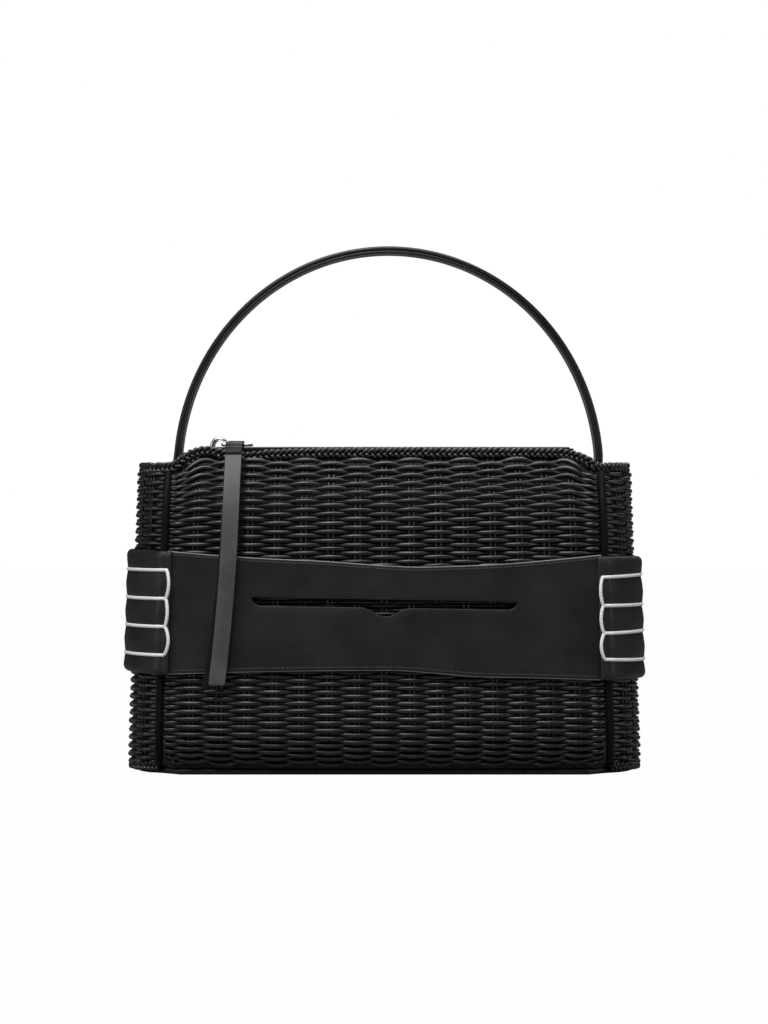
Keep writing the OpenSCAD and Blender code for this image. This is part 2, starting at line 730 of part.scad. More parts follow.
// Leather loop: round the ring's bar, forwards over the rim and a little way down
module pull_loop() {
    n = 10;
    steps = [for (k = [0:n]) tab_len * k / n];
    lap = tab_len - tab_lap;
    top = [for (t = steps) drape(t, 2 * pull_t + pull_t * ease((t - lap + 1) / 1.5))];
    under = [for (t = turned(steps)) drape(t, t > lap ? 2 * pull_t + 0.1 : 0)];
    start = [[loop_y, pull_z], [loop_y, pull_z + 2 * pull_t]];
    color("#38383a") translate([-pull_x - pull_w / 2, 0, 0]) rotate([90, 0, 90]) difference() {
        union() {
            linear_extrude(pull_w) polygon(concat(start, top, under));
            translate([loop_y, ring_z, 0]) cylinder(r = loop_r, h = pull_w);
        }
        translate([loop_y, ring_z, -1]) cylinder(d = ring_wire + 0.4, h = pull_w + 2);
    }
}

// One tail of the pull: it starts under the loop's end and leans sideways as it hangs
module tail(inner, low, lean) {
    n = 16;
    start = tab_len - tab_lap + 1.5;
    end = bend_len + drape_len + shoulder_z - low;
    loops = [
        for (k = [0:n])
            let (t = mix(start, end, k / n), a = drape(t, inner), b = drape(t, inner + pull_t - 0.1))
            let (x = -pull_x - lean * (t - start) / (end - start))
            [for (p = [[-1, a], [1, a], [1, b], [-1, b]]) [x + p[0] * pull_w / 2, p[1][0], p[1][1]]]
    ];
    skin(loops);
}

module pull_strip() {
    color("#4a4a4c") {
        tail(pull_t, pull_low, pull_lean);
        tail(0, pull_low - tail_drop, pull_lean + tail_lean);
    }
}

front_wall();
back_wall();
left_side();
right_side();
base_board();
corner_posts();
rim_braid();
belt_front();
belt_back();
left_wrap();
right_wrap();
left_lacing();
right_lacing();
strap_outer();
strap_lining();
lining();
closure_front();
closure_back();
zip_tape_front();
zip_tape_back();
zip_teeth_front();
zip_teeth_back();
zip_stops();
zip_slider();
pull_ring();
pull_loop();
pull_strip();
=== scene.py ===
"""Looks of a wicker top-handle bag: woven walls, laced leather belt, arched strap, zip and long pull.

Shapes are worked out in millimetres and made in metres, in the frame of the CAD part.
"""

import logging
import math
from dataclasses import dataclass, field
from enum import Enum
from functools import partial
from typing import Any, Callable

import bmesh
import bpy
import numpy as np
from mathutils import Matrix, Vector


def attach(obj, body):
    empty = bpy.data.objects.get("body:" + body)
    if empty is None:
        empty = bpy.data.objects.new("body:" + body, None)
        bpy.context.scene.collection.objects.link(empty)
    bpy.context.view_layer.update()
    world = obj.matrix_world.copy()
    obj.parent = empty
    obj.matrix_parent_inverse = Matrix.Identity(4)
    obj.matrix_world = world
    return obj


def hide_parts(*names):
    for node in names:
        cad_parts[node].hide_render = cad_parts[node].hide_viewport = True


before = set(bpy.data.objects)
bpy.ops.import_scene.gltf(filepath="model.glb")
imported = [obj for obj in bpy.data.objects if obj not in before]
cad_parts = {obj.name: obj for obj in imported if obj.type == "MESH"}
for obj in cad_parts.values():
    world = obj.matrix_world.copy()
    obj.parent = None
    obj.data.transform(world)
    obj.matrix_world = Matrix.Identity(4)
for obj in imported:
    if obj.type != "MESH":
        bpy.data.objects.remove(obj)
log = logging.getLogger("bag")

MM = 0.001
UP = np.array([0.0, 0.0, 1.0])
# Half a turn about the upright axis, which carries the front right to the back left
HALF_TURN = np.array([-1, -1, 1])
# Signs of x and y at the four corners
CORNERS = ((1, 1), (1, -1), (-1, 1), (-1, -1))
# Rings of a strand's domed end: distance past the end and radius, as shares of the strand's radius
DOME = np.array([[0.95, 0.15], [0.55, 0.75]])
# Millimetres between the fibre patterns of tone 0 and tone 1
FIBRE_SPREAD = 400.0


class Body(str, Enum):
    """Moving bodies of the part."""

    BAG = "bag"
    SLIDER = "slider"
    RING = "ring"
    PULL = "pull"


class Slot(str, Enum):
    """Material slots of the record."""

    WICKER = "wicker"
    BASE = "base_leather"
    BELT = "belt_leather"
    CORD = "white_cord"
    STRAP = "strap_leather"
    STRAP_LINING = "strap_lining"
    LINING = "lining_fabric"
    CLOSURE = "closure_leather"
    TAPE = "zip_tape"
    METAL = "zip_metal"
    PULL = "pull_leather"


def ease(t: np.ndarray) -> np.ndarray:
    """Smooth step from 0 to 1.

    Args:
        t: Values, clamped to 0..1.
    Returns:
        The eased values.
    """
    c = np.clip(t, 0.0, 1.0)
    return c * c * (3 - 2 * c)


def ramp(x: np.ndarray, height: float, start: float, end: float) -> np.ndarray:
    """A smooth rise over a stretch.

    Args:
        x: Places.
        height: Height of the rise.
        start: Where it starts.
        end: Where it ends.
    Returns:
        Heights.
    """
    return height * ease((x - start) / (end - start))


def unit(v: np.ndarray) -> np.ndarray:
    """Vectors scaled to length 1.

    Args:
        v: Array of vectors, one to a row.
    Returns:
        The unit vectors.
    """
    return v / np.maximum(np.linalg.norm(v, axis=-1, keepdims=True), 1e-9)


def resample(path: np.ndarray, count: int, closed: bool = False) -> np.ndarray:
    """Points at even lengths along a path.

    Args:
        path: Points of the path.
        count: Number of points wanted.
        closed: Whether the path runs back to its start.
    Returns:
        The new points.
    """
    line = np.vstack([path, path[:1]]) if closed else path
    run = np.concatenate([[0.0], np.cumsum(np.linalg.norm(np.diff(line, axis=0), axis=1))])
    at = np.linspace(0.0, run[-1], count + 1)[:-1] if closed else np.linspace(0.0, run[-1], count)
    return np.stack([np.interp(at, run, line[:, k]) for k in range(3)], axis=1)


def tangent(path: np.ndarray, closed: bool = False) -> np.ndarray:
    """Unit ways along a path.

    Args:
        path: Points of the path.
        closed: Whether the path runs back to its start.
    Returns:
        One way for each point.
    """
    if closed:
        return unit(np.roll(path, -1, axis=0) - np.roll(path, 1, axis=0))
    return unit(np.gradient(path, axis=0))


def evened(path: np.ndarray, rounds: int) -> np.ndarray:
    """A closed path with its corners evened out.

    Args:
        path: Points of the path.
        rounds: How often each point moves towards its neighbours.
    Returns:
        The new points.
    """
    for _ in range(rounds):
        path = (np.roll(path, 1, axis=0) + 2 * path + np.roll(path, -1, axis=0)) / 4
    return path


@dataclass(frozen=True)
class BasketForm:
    """Middle surfaces of the basket's walls, in millimetres."""

    base_w: float = 261.0
    rim_w: float = 249.0
    bulge: float = 20.3
    half_d: float = 44.0
    bow: float = 4.0
    top: float = 185.5
    drop: float = 11.0
    face_out: float = 3.45
    shoulder_h: float = 40.0
    shoulder_tilt: float = math.radians(46)
    foot_h: float = 30.0
    foot_tilt: float = math.radians(45)
    foot_corner: float = 10.0
    base_t: float = 3.4
    fit: float = 0.3
    side_tuck: float = 6.0
    side_gap: float = 2.5
    corner_start: float = 0.84

    @property
    def shoulder_r(self) -> float:
        """Radius of the shoulder."""
        return self.shoulder_h / math.sin(self.shoulder_tilt)

    @property
    def foot_r(self) -> float:
        """Radius of the foot."""
        return self.foot_h / math.sin(self.foot_tilt)

    @property
    def z0(self) -> float:
        """Height of the front wall's lower edge."""
        return self.base_t + self.fit + self.face_out * math.sin(self.foot_tilt)

    @property
    def foot_z(self) -> float:
        """Height at which the foot ends."""
        return self.z0 + self.foot_h

    @property
    def shoulder_z(self) -> float:
        """Height at which the shoulder starts."""
        return self.top - self.shoulder_h

    @property
    def foot_len(self) -> float:
        """Length of the foot along the wall."""
        return self.foot_r * self.foot_tilt

    @property
    def wall_len(self) -> float:
        """Length of the front wall from its lower to its upper edge."""
        return self.foot_len + self.shoulder_z - self.foot_z + self.shoulder_r * self.shoulder_tilt

    def tilt(self, s: np.ndarray) -> np.ndarray:
        """Lean of the front wall at length s.

        Args:
            s: Lengths along the wall.
        Returns:
            Angles, negative at the foot.
        """
        bend = self.foot_len + self.shoulder_z - self.foot_z
        return np.where(s < self.foot_len, s / self.foot_r - self.foot_tilt,
                        np.maximum(0.0, s - bend) / self.shoulder_r)

    def height(self, s: np.ndarray) -> np.ndarray:
        """Height of the front wall at length s.

        Args:
            s: Lengths along the wall.
        Returns:
            Heights.
        """
        tilt = self.tilt(s)
        bend = self.foot_len + self.shoulder_z - self.foot_z
        straight = self.foot_z + s - self.foot_len
        return np.where(s < self.foot_len, self.foot_z + self.foot_r * np.sin(tilt),
                        np.where(s < bend, straight, self.shoulder_z + self.shoulder_r * np.sin(tilt)))

    def tilt_z(self, z: np.ndarray) -> np.ndarray:
        """Lean of the front wall at height z.

        Args:
            z: Heights.
        Returns:
            Angles, negative at the foot.
        """
        low = -np.arcsin(np.clip((self.foot_z - np.maximum(z, self.z0)) / self.foot_r, 0, 1))
        high = np.arcsin(np.clip((z - self.shoulder_z) / self.shoulder_r, 0, 1))
        return np.where(z < self.foot_z, low, high)

    def setback(self, tilt: np.ndarray) -> np.ndarray:
        """How far the wall stands back from its belly at a lean.

        Args:
            tilt: Angles.
        Returns:
            Distances.
        """
        return np.where(tilt < 0, self.foot_r, self.shoulder_r) * (1 - np.cos(tilt))

    def half_w(self, z: np.ndarray) -> np.ndarray:
        """Half the front wall's width at height z.

        Args:
            z: Heights.
        Returns:
            Half widths.
        """
        return (self.base_w + (self.rim_w - self.base_w) * z / self.top) / 2

    def wall(self, u: np.ndarray, s: np.ndarray) -> tuple[np.ndarray, np.ndarray]:
        """Points of the front wall's middle and the ways that its face looks.

        Args:
            u: Places across, -1 to 1.
            s: Lengths along the wall.
        Returns:
            Points and unit normals.
        """
        z, tilt = self.height(s), self.tilt(s)
        rise = np.maximum(0.0, self.foot_corner - z + self.z0)
        inset = self.foot_corner - np.sqrt(np.maximum(0.0, self.foot_corner**2 - rise**2))
        points = np.stack([u * (self.half_w(z) - inset),
                           self.setback(tilt) - self.half_d - self.bow * (1 - u * u), z], axis=-1)
        return points, np.stack([np.zeros_like(tilt), -np.cos(tilt), np.sin(tilt)], axis=-1)

    def wall_end(self, u: np.ndarray) -> np.ndarray:
        """Length of the front wall at u, shorter at the corners.

        Args:
            u: Places across, -1 to 1.
        Returns:
            Lengths.
        """
        return self.wall_len - self.drop * ease((np.abs(u) - self.corner_start) / (1 - self.corner_start))

    @property
    def side_top(self) -> float:
        """Height of the side walls' upper edges."""
        return float(self.height(np.array(self.wall_len - self.drop)))

    def side(self, v: np.ndarray, z: np.ndarray) -> tuple[np.ndarray, np.ndarray]:
        """Points of the right side wall's middle and the ways that its face looks.

        Args:
            v: Places from front to back, -1 to 1.
            z: Heights.
        Returns:
            Points and unit normals.
        """
        h = self.half_d - self.setback(self.tilt_z(z)) - self.side_tuck
        rise = self.bulge - self.side_gap
        r = (h * h + rise * rise) / (2 * rise)
        turn = v * 2 * np.arctan2(rise, h)
        points = np.stack([self.half_w(z) + self.bulge - r + r * np.cos(turn), r * np.sin(turn), z], axis=-1)
        return points, np.stack([np.cos(turn), np.sin(turn), np.zeros_like(turn)], axis=-1)


FORM = BasketForm()


class MeshDraft:
    """Collects tubes, grids and stitches in millimetres and turns them into one mesh object."""

    def __init__(self, name: str) -> None:
        """Starts an empty draft.

        Args:
            name: Name of the piece.
        """
        self.name = name
        self.points: list[np.ndarray] = []
        self.faces: list[np.ndarray] = []
        self.slots: list[np.ndarray] = []
        self.fibres: list[np.ndarray] = []
        self.tones: list[np.ndarray] = []
        self.count = 0

    def add_grid(self, grid: np.ndarray, around: bool = False, slots: np.ndarray | int = 0,
                 tone: float = 0.5, fibre: np.ndarray | None = None, turn: bool = False) -> None:
        """Adds a grid of points as quads.

        Args:
            grid: Points by row and column.
            around: Whether the columns close into a ring.
            slots: Material number, one for all or one for each quad.
            tone: Tone of the whole grid, 0 to 1.
            fibre: Strand coordinates of the points.
            turn: Whether the faces look the other way.
        """
        n, m = grid.shape[:2]
        at = np.arange(n * m).reshape(n, m) + self.count
        right = np.roll(at, -1, axis=1) if around else at[:, 1:]
        left = at if around else at[:, :-1]
        quads = np.stack([left[:-1], right[:-1], right[1:], left[1:]], axis=-1).reshape(-1, 4)
        self.faces.append(quads[:, ::-1] if turn else quads)
        self.slots.append(np.broadcast_to(slots, len(quads)).astype(int))
        self.points.append(grid.reshape(-1, 3))
        self.fibres.append((grid if fibre is None else fibre).reshape(-1, 3))
        self.tones.append(np.full(n * m, tone))
        self.count += n * m

    def add_tube(self, path: np.ndarray, radius: float | np.ndarray, normal: np.ndarray, sides: int = 8,
                 tone: float = 0.5, closed: bool = False) -> None:
        """Adds a round strand along a path, with domed ends unless it is closed.

        Args:
            path: Points of the middle line.
            radius: Radius, one for all or one for each point.
            normal: Ways that the strand's front looks, one for all or one for each point.
            sides: Number of sides.
            tone: Tone of the strand, 0 to 1.
            closed: Whether the strand runs back to its start.
        """
        n = len(path)
        r = np.broadcast_to(np.asarray(radius, dtype=float), (n,)).copy()
        face = np.broadcast_to(np.asarray(normal, dtype=float), (n, 3)).copy()
        along = tangent(path, closed)
        if not closed:
            first = [path[0] - along[0] * r[0] * d for d in DOME[:, 0]]
            last = [path[-1] + along[-1] * r[-1] * d for d in DOME[::-1, 0]]
            r = np.concatenate([DOME[:, 1] * r[0], r, DOME[::-1, 1] * r[-1]])
            path = np.vstack([first, path, last])
            along = np.vstack([along[:1], along[:1], along, along[-1:], along[-1:]])
            face = np.vstack([face[:1], face[:1], face, face[-1:], face[-1:]])
        up = unit(np.cross(along, face))
        out = np.cross(up, along)
        phi = np.linspace(0, 2 * math.pi, sides, endpoint=False)
        c, s = r[:, None] * np.cos(phi), r[:, None] * np.sin(phi)
        grid = path[:, None] + c[..., None] * out[:, None] + s[..., None] * up[:, None]
        run = np.concatenate([[0.0], np.cumsum(np.linalg.norm(np.diff(path, axis=0), axis=1))])
        fibre = np.stack(np.broadcast_arrays(run[:, None] + FIBRE_SPREAD * tone, c, s), axis=-1)
        if closed:
            grid, fibre = np.vstack([grid, grid[:1]]), np.vstack([fibre, fibre[:1]])
        self.add_grid(grid, around=True, tone=tone, fibre=fibre)

    def add_stitches(self, path: np.ndarray, normal: np.ndarray, pitch: float = 2.7, length: float = 2.0,
                     radius: float = 0.38, slant: float = 0.0, lift: float = 0.05) -> None:
        """Adds a row of short raised stitches along a path.

        Args:
            path: Points of the seam.
            normal: Way that the seam's face looks.
            pitch: Distance between two stitches.
            length: Length of one stitch.
            radius: Radius of the thread.
            slant: Share of a stitch's length by which it leans across the seam.
            lift: Height of the stitch's middle above the seam.
        """
        total = float(np.linalg.norm(np.diff(path, axis=0), axis=1).sum())
        count = max(2, int(total / pitch))
        spots = resample(path, count)
        along = tangent(spots)
        t = np.linspace(-0.5, 0.5, 5)[:, None]
        for k in range(count):
            way = unit(along[k] + slant * np.cross(along[k], normal))
            bend = spots[k] + t * length * way + (lift - 0.5 * radius * (2 * t) ** 2) * normal
            self.add_tube(bend, radius, normal, sides=6, tone=(k * 0.37) % 1.0)

    def make(self, materials: list[bpy.types.Material], weld: float = 0.0,
             tidy: bool = False) -> bpy.types.Object:
        """Makes the mesh object.

        Args:
            materials: Materials by number.
            weld: Distance in metres within which points are joined, or 0.
            tidy: Whether the faces are made to look outwards.
        Returns:
            The new object.
        """
        mesh = bpy.data.meshes.new(self.name)
        points = np.vstack(self.points) * MM
        mesh.from_pydata(points.tolist(), [], np.vstack(self.faces).tolist())
        mesh.polygons.foreach_set("material_index", np.concatenate(self.slots).astype(np.int32))
        fibre = mesh.attributes.new("fibre", "FLOAT_VECTOR", "POINT")
        fibre.data.foreach_set("vector", np.vstack(self.fibres).astype(np.float32).ravel())
        tone = mesh.attributes.new("tone", "FLOAT", "POINT")
        tone.data.foreach_set("value", np.concatenate(self.tones).astype(np.float32))
        for material in materials:
            mesh.materials.append(material)
        if weld or tidy:
            bm = bmesh.new()
            bm.from_mesh(mesh)
            if weld:
                bmesh.ops.remove_doubles(bm, verts=bm.verts, dist=weld)
                bmesh.ops.dissolve_degenerate(bm, edges=bm.edges, dist=1e-7)
            if tidy:
                bmesh.ops.recalc_face_normals(bm, faces=bm.faces)
            bm.to_mesh(mesh)
            bm.free()
        mesh.update()
        mesh.shade_smooth()
        obj = bpy.data.objects.new(self.name, mesh)
        bpy.context.scene.collection.objects.link(obj)
        return obj


def settle(obj: bpy.types.Object, sharp: float = 50.0) -> bpy.types.Object:
    """Applies an object's modifiers to its mesh.

    Args:
        obj: The object.
        sharp: Angle in degrees above which an edge stays sharp.
    Returns:
        The same object.
    """
    graph = bpy.context.evaluated_depsgraph_get()
    mesh = bpy.data.meshes.new_from_object(obj.evaluated_get(graph))
    obj.modifiers.clear()
    obj.data = mesh
    mesh.shade_smooth()
    mesh.set_sharp_from_angle(angle=math.radians(sharp))
    return obj


def softened_copy(name: str, node: str, bevel: float, material: bpy.types.Material) -> bpy.types.Object:
    """A copy of a CAD node whose outer edges are rounded.

    Args:
        name: Name of the new piece.
        node: CAD node.
        bevel: Width of the rounding in millimetres.
        material: Material of the piece.
    Returns:
        The new object.
    """
    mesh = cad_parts[node].data.copy()
    mesh.materials.clear()
    mesh.materials.append(material)
    bm = bmesh.new()
    bm.from_mesh(mesh)
    bmesh.ops.remove_doubles(bm, verts=bm.verts, dist=2e-5)
    bmesh.ops.dissolve_limit(bm, angle_limit=math.radians(2), verts=bm.verts, edges=bm.edges)
    outer = [edge for edge in bm.edges if edge.is_manifold and edge.is_convex]
    sharp = [edge for edge in outer if edge.calc_face_angle(0.0) > math.radians(35)]
    bmesh.ops.bevel(bm, geom=sharp, offset=bevel * MM, offset_type="OFFSET", segments=3, profile=0.5,
                    affect="EDGES", clamp_overlap=True)
    bm.to_mesh(mesh)
    bm.free()
    for polygon in mesh.polygons:
        polygon.material_index = 0
    obj = bpy.data.objects.new(name, mesh)
    bpy.context.scene.collection.objects.link(obj)
    return settle(obj, 40)


def place(obj: bpy.types.Object, body: Body, slot: Slot, *nodes: str) -> bpy.types.Object:
    """Puts a piece on a body and hides the CAD nodes that it stands for.

    Args:
        obj: The piece.
        body: Body that it moves with.
        slot: Material slot of the record; not used.
        nodes: CAD nodes that it replaces.
    Returns:
        The piece.
    """
    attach(obj, body.value)
    if nodes:
        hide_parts(*nodes)
    log.info("%s: %d faces on %s", obj.name, len(obj.data.polygons), body.value)
    return obj


class Sketch:
    """Short way to lay out shader nodes."""

    def __init__(self, tree: bpy.types.NodeTree) -> None:
        """Starts on an emptied tree.

        Args:
            tree: Node tree to fill.
        """
        self.tree = tree
        tree.nodes.clear()

    def node(self, kind: str, props: dict[str, Any] | None = None, **inputs: Any) -> bpy.types.Node:
        """Adds a node.

        Args:
            kind: Node type.
            props: Properties of the node.
            inputs: Values or sockets by input name, with _ for a space, or iN for input number N.
        Returns:
            The node.
        """
        made = self.tree.nodes.new(kind)
        for key, value in (props or {}).items():
            setattr(made, key, value)
        for key, value in inputs.items():
            numbered = key[0] == "i" and key[1:].isdigit()
            socket = made.inputs[int(key[1:])] if numbered else made.inputs[key.replace("_", " ")]
            if isinstance(value, bpy.types.NodeSocket):
                self.tree.links.new(value, socket)
            else:
                socket.default_value = value
        return made

    def math(self, operation: str, a: Any, b: Any = 0.0) -> bpy.types.NodeSocket:
        """Adds a math node.

        Args:
            operation: Name of the operation.
            a: First value or socket.
            b: Second value or socket.
        Returns:
            The result's socket.
        """
        return self.node("ShaderNodeMath", {"operation": operation}, i0=a, i1=b).outputs[0]

    def spread(self, value: Any, low: float, high: float, to_low: float,
               to_high: float) -> bpy.types.NodeSocket:
        """Maps a value from one range to another, clamped.

        Args:
            value: Socket.
            low: Start of the first range.
            high: End of the first range.
            to_low: Start of the second range.
            to_high: End of the second range.
        Returns:
            The result's socket.
        """
        made = self.node("ShaderNodeMapRange", None, i0=value, i1=low, i2=high, i3=to_low, i4=to_high)
        return made.outputs[0]

    def blend(self, factor: Any, a: Any, b: Any) -> bpy.types.NodeSocket:
        """Mixes two colours.

        Args:
            factor: Share of the second one.
            a: First colour or socket.
            b: Second colour or socket.
        Returns:
            The result's socket.
        """
        mix = self.node("ShaderNodeMix", {"data_type": "RGBA"}, i0=factor, i6=a, i7=b)
        return mix.outputs[2]


class Effects:
    """Shader node groups that several finishes share."""

    made: dict[str, bpy.types.NodeTree] = {}

    @classmethod
    def group(cls, name: str, inputs: dict[str, float], outputs: list[str],
              fill: Callable[[Sketch, bpy.types.Node], dict[str, Any]]) -> bpy.types.NodeTree:
        """Makes a node group once.

        Args:
            name: Name of the group.
            inputs: Inputs and their default values.
            outputs: Outputs, all plain values.
            fill: Lays out the nodes and returns the socket of each output.
        Returns:
            The group.
        """
        if name not in cls.made:
            tree = bpy.data.node_groups.new(name, "ShaderNodeTree")
            sketch = Sketch(tree)
            for key, value in inputs.items():
                socket = tree.interface.new_socket(key, in_out="INPUT", socket_type="NodeSocketFloat")
                socket.default_value = value
            for key in outputs:
                tree.interface.new_socket(key, in_out="OUTPUT", socket_type="NodeSocketFloat")
            sketch.node("NodeGroupOutput", None, **fill(sketch, sketch.node("NodeGroupInput")))
            cls.made[name] = tree
        return cls.made[name]

    @classmethod
    def strand_fibre(cls) -> bpy.types.NodeTree:
        """Fine lines along a strand, and its own tone.

        Returns:
            The group, with Streak, Patch and Tone.
        """

        def fill(s: Sketch, _: bpy.types.Node) -> dict[str, Any]:
            """Lays out the nodes of the group, which has no inputs.

            Args:
                s: Sketch of the group's nodes.
            Returns:
                The socket of each output.
            """
            at = s.node("ShaderNodeAttribute", {"attribute_name": "fibre"}).outputs["Vector"]
            long = s.node("ShaderNodeMapping", None, Vector=at, Scale=(0.09, 2.2, 2.2)).outputs[0]
            streak = s.node("ShaderNodeTexNoise", None, Vector=long, Scale=1.0, Detail=3.0).outputs[0]
            wide = s.node("ShaderNodeMapping", None, Vector=at, Scale=(0.06, 0.3, 0.3)).outputs[0]
            patch = s.node("ShaderNodeTexNoise", None, Vector=wide, Scale=1.0, Detail=2.0).outputs[0]
            tone = s.node("ShaderNodeAttribute", {"attribute_name": "tone"}).outputs["Fac"]
            return {"Streak": streak, "Patch": patch, "Tone": tone}

        return cls.group("strand_fibre", {}, ["Streak", "Patch", "Tone"], fill)

    @classmethod
    def hide_grain(cls) -> bpy.types.NodeTree:
        """Pebbled surface of leather, with a slow mottle.

        Returns:
            The group, with Height and Mottle.
        """

        def fill(s: Sketch, given: bpy.types.Node) -> dict[str, Any]:
            """Lays out the nodes of the group.

            Args:
                s: Sketch of the group's nodes.
                given: Node of the group's inputs.
            Returns:
                The socket of each output.
            """
            at = s.node("ShaderNodeTexCoord").outputs["Object"]
            cells = s.node("ShaderNodeTexVoronoi", {"feature": "SMOOTH_F1"}, Vector=at,
                           Scale=given.outputs["Scale"]).outputs["Distance"]
            fine = s.node("ShaderNodeTexNoise", None, Vector=at, Scale=2600.0, Detail=3.0).outputs[0]
            slow = s.node("ShaderNodeTexNoise", None, Vector=at, Scale=38.0, Detail=4.0).outputs[0]
            return {"Height": s.math("ADD", cells, s.math("MULTIPLY", fine, 0.35)), "Mottle": slow}

        return cls.group("hide_grain", {"Scale": 1100.0}, ["Height", "Mottle"], fill)

    @classmethod
    def edge_wear(cls) -> bpy.types.NodeTree:
        """Mask of the outer edges, broken up a little.

        Returns:
            The group, with Mask.
        """

        def fill(s: Sketch, _: bpy.types.Node) -> dict[str, Any]:
            """Lays out the nodes of the group, which has no inputs.

            Args:
                s: Sketch of the group's nodes.
            Returns:
                The socket of each output.
            """
            point = s.node("ShaderNodeNewGeometry").outputs["Pointiness"]
            at = s.node("ShaderNodeTexCoord").outputs["Object"]
            spots = s.node("ShaderNodeTexNoise", None, Vector=at, Scale=240.0, Detail=3.0).outputs[0]
            edge = s.spread(point, 0.51, 0.6, 0.0, 1.0)
            return {"Mask": s.math("MULTIPLY", edge, s.spread(spots, 0.35, 0.65, 0.3, 1.0))}

        return cls.group("edge_wear", {}, ["Mask"], fill)

    @classmethod
    def thread_twist(cls) -> bpy.types.NodeTree:
        """Slanted plies round a cord.

        Returns:
            The group, with Ply.
        """

        def fill(s: Sketch, given: bpy.types.Node) -> dict[str, Any]:
            """Lays out the nodes of the group.

            Args:
                s: Sketch of the group's nodes.
                given: Node of the group's inputs.
            Returns:
                The socket of each output.
            """
            at = s.node("ShaderNodeAttribute", {"attribute_name": "fibre"}).outputs["Vector"]
            part = s.node("ShaderNodeSeparateXYZ", None, Vector=at).outputs
            turn = s.math("ARCTAN2", part[2], part[1])
            run = s.math("MULTIPLY", part[0], given.outputs["Turns"])
            ply = s.math("SINE", s.math("ADD", s.math("MULTIPLY", turn, 2.0), run))
            return {"Ply": s.spread(ply, -1.0, 1.0, 0.0, 1.0)}

        return cls.group("thread_twist", {"Turns": 3.0}, ["Ply"], fill)


@dataclass(frozen=True)
class Finish:
    """What every finish has: a name, a colour and a roughness."""

    name: str
    color: tuple[float, float, float]
    rough: float = 0.5

    def shade(self, s: Sketch) -> dict[str, Any]:
        """Inputs of the surface shader.

        Args:
            s: Sketch of the material's nodes.
        Returns:
            Values or sockets by input name.
        """
        return {"Base_Color": self.tint(), "Roughness": self.rough}

    def tint(self, factor: float = 1.0, lift: float = 0.0) -> tuple[float, ...]:
        """The colour made darker or paler.

        Args:
            factor: What the colour is multiplied by.
            lift: What is then added to it.
        Returns:
            The colour, with an alpha of 1.
        """
        return (*[min(1.0, part * factor + lift) for part in self.color], 1.0)

    def group(self, s: Sketch, tree: bpy.types.NodeTree, **inputs: Any) -> bpy.types.Node:
        """Adds a shared effect.

        Args:
            s: Sketch of the material's nodes.
            tree: The effect's group.
            inputs: Values by input name.
        Returns:
            The group node.
        """
        return s.node("ShaderNodeGroup", {"node_tree": tree}, **inputs)

    def bump(self, s: Sketch, height: Any, depth: float, strength: float = 1.0) -> bpy.types.NodeSocket:
        """Turns a height into a normal.

        Args:
            s: Sketch of the material's nodes.
            height: Socket of the height.
            depth: Depth in millimetres.
            strength: Share of the bump.
        Returns:
            The normal's socket.
        """
        made = s.node("ShaderNodeBump", None, Height=height, Distance=depth * MM, Strength=strength)
        return made.outputs[0]

    def material(self) -> bpy.types.Material:
        """Makes the material once.

        Returns:
            The material.
        """
        label = f"{self.name}_look"
        if label in bpy.data.materials:
            return bpy.data.materials[label]
        made = bpy.data.materials.new(label)
        made.use_nodes = True
        sketch = Sketch(made.node_tree)
        surface = sketch.node("ShaderNodeBsdfPrincipled", None, **self.shade(sketch))
        sketch.node("ShaderNodeOutputMaterial", None, Surface=surface.outputs[0])
        return made


@dataclass(frozen=True)
class WickerFinish(Finish):
    """Dyed cane with a satin gloss, streaked along each strand."""

    coat: float = 0.25
    spec: float = 0.5

    def shade(self, s: Sketch) -> dict[str, Any]:
        """Streaks and tones in the colour, and patches in the gloss.

        Args:
            s: Sketch of the material's nodes.
        Returns:
            Values or sockets by input name.
        """
        fibre = self.group(s, Effects.strand_fibre())
        streaks = s.math("MULTIPLY", fibre.outputs["Streak"], 0.6)
        share = s.math("ADD", streaks, s.math("MULTIPLY", fibre.outputs["Tone"], 0.4))
        return {
            "Base_Color": s.blend(share, self.tint(0.45), self.tint(1.8)),
            "Roughness": s.spread(fibre.outputs["Patch"], 0.3, 0.7, self.rough - 0.07, self.rough + 0.1),
            "Specular_IOR_Level": self.spec,
            "Coat_Weight": self.coat,
            "Coat_Roughness": 0.22,
            "Normal": self.bump(s, fibre.outputs["Streak"], 0.25, 0.6),
        }


@dataclass(frozen=True)
class LeatherFinish(Finish):
    """Leather with a fine grain, a slow mottle and paler worn edges."""

    grain: float = 0.06
    scale: float = 1100.0
    wear: float = 0.35
    spec: float = 0.4

    def shade(self, s: Sketch) -> dict[str, Any]:
        """A mottled colour that is paler on the edges, and the grain.

        Args:
            s: Sketch of the material's nodes.
        Returns:
            Values or sockets by input name.
        """
        grain = self.group(s, Effects.hide_grain(), Scale=self.scale)
        worn = self.group(s, Effects.edge_wear())
        mottle = s.spread(grain.outputs["Mottle"], 0.35, 0.65, 0.0, 1.0)
        base = s.blend(mottle, self.tint(0.75), self.tint(1.25))
        edge = self.tint(2.6, 0.012)
        return {
            "Base_Color": s.blend(s.math("MULTIPLY", worn.outputs["Mask"], self.wear), base, edge),
            "Roughness": s.spread(grain.outputs["Mottle"], 0.3, 0.7, self.rough - 0.05, self.rough + 0.07),
            "Specular_IOR_Level": self.spec,
            "Normal": self.bump(s, grain.outputs["Height"], self.grain, 0.7),
        }


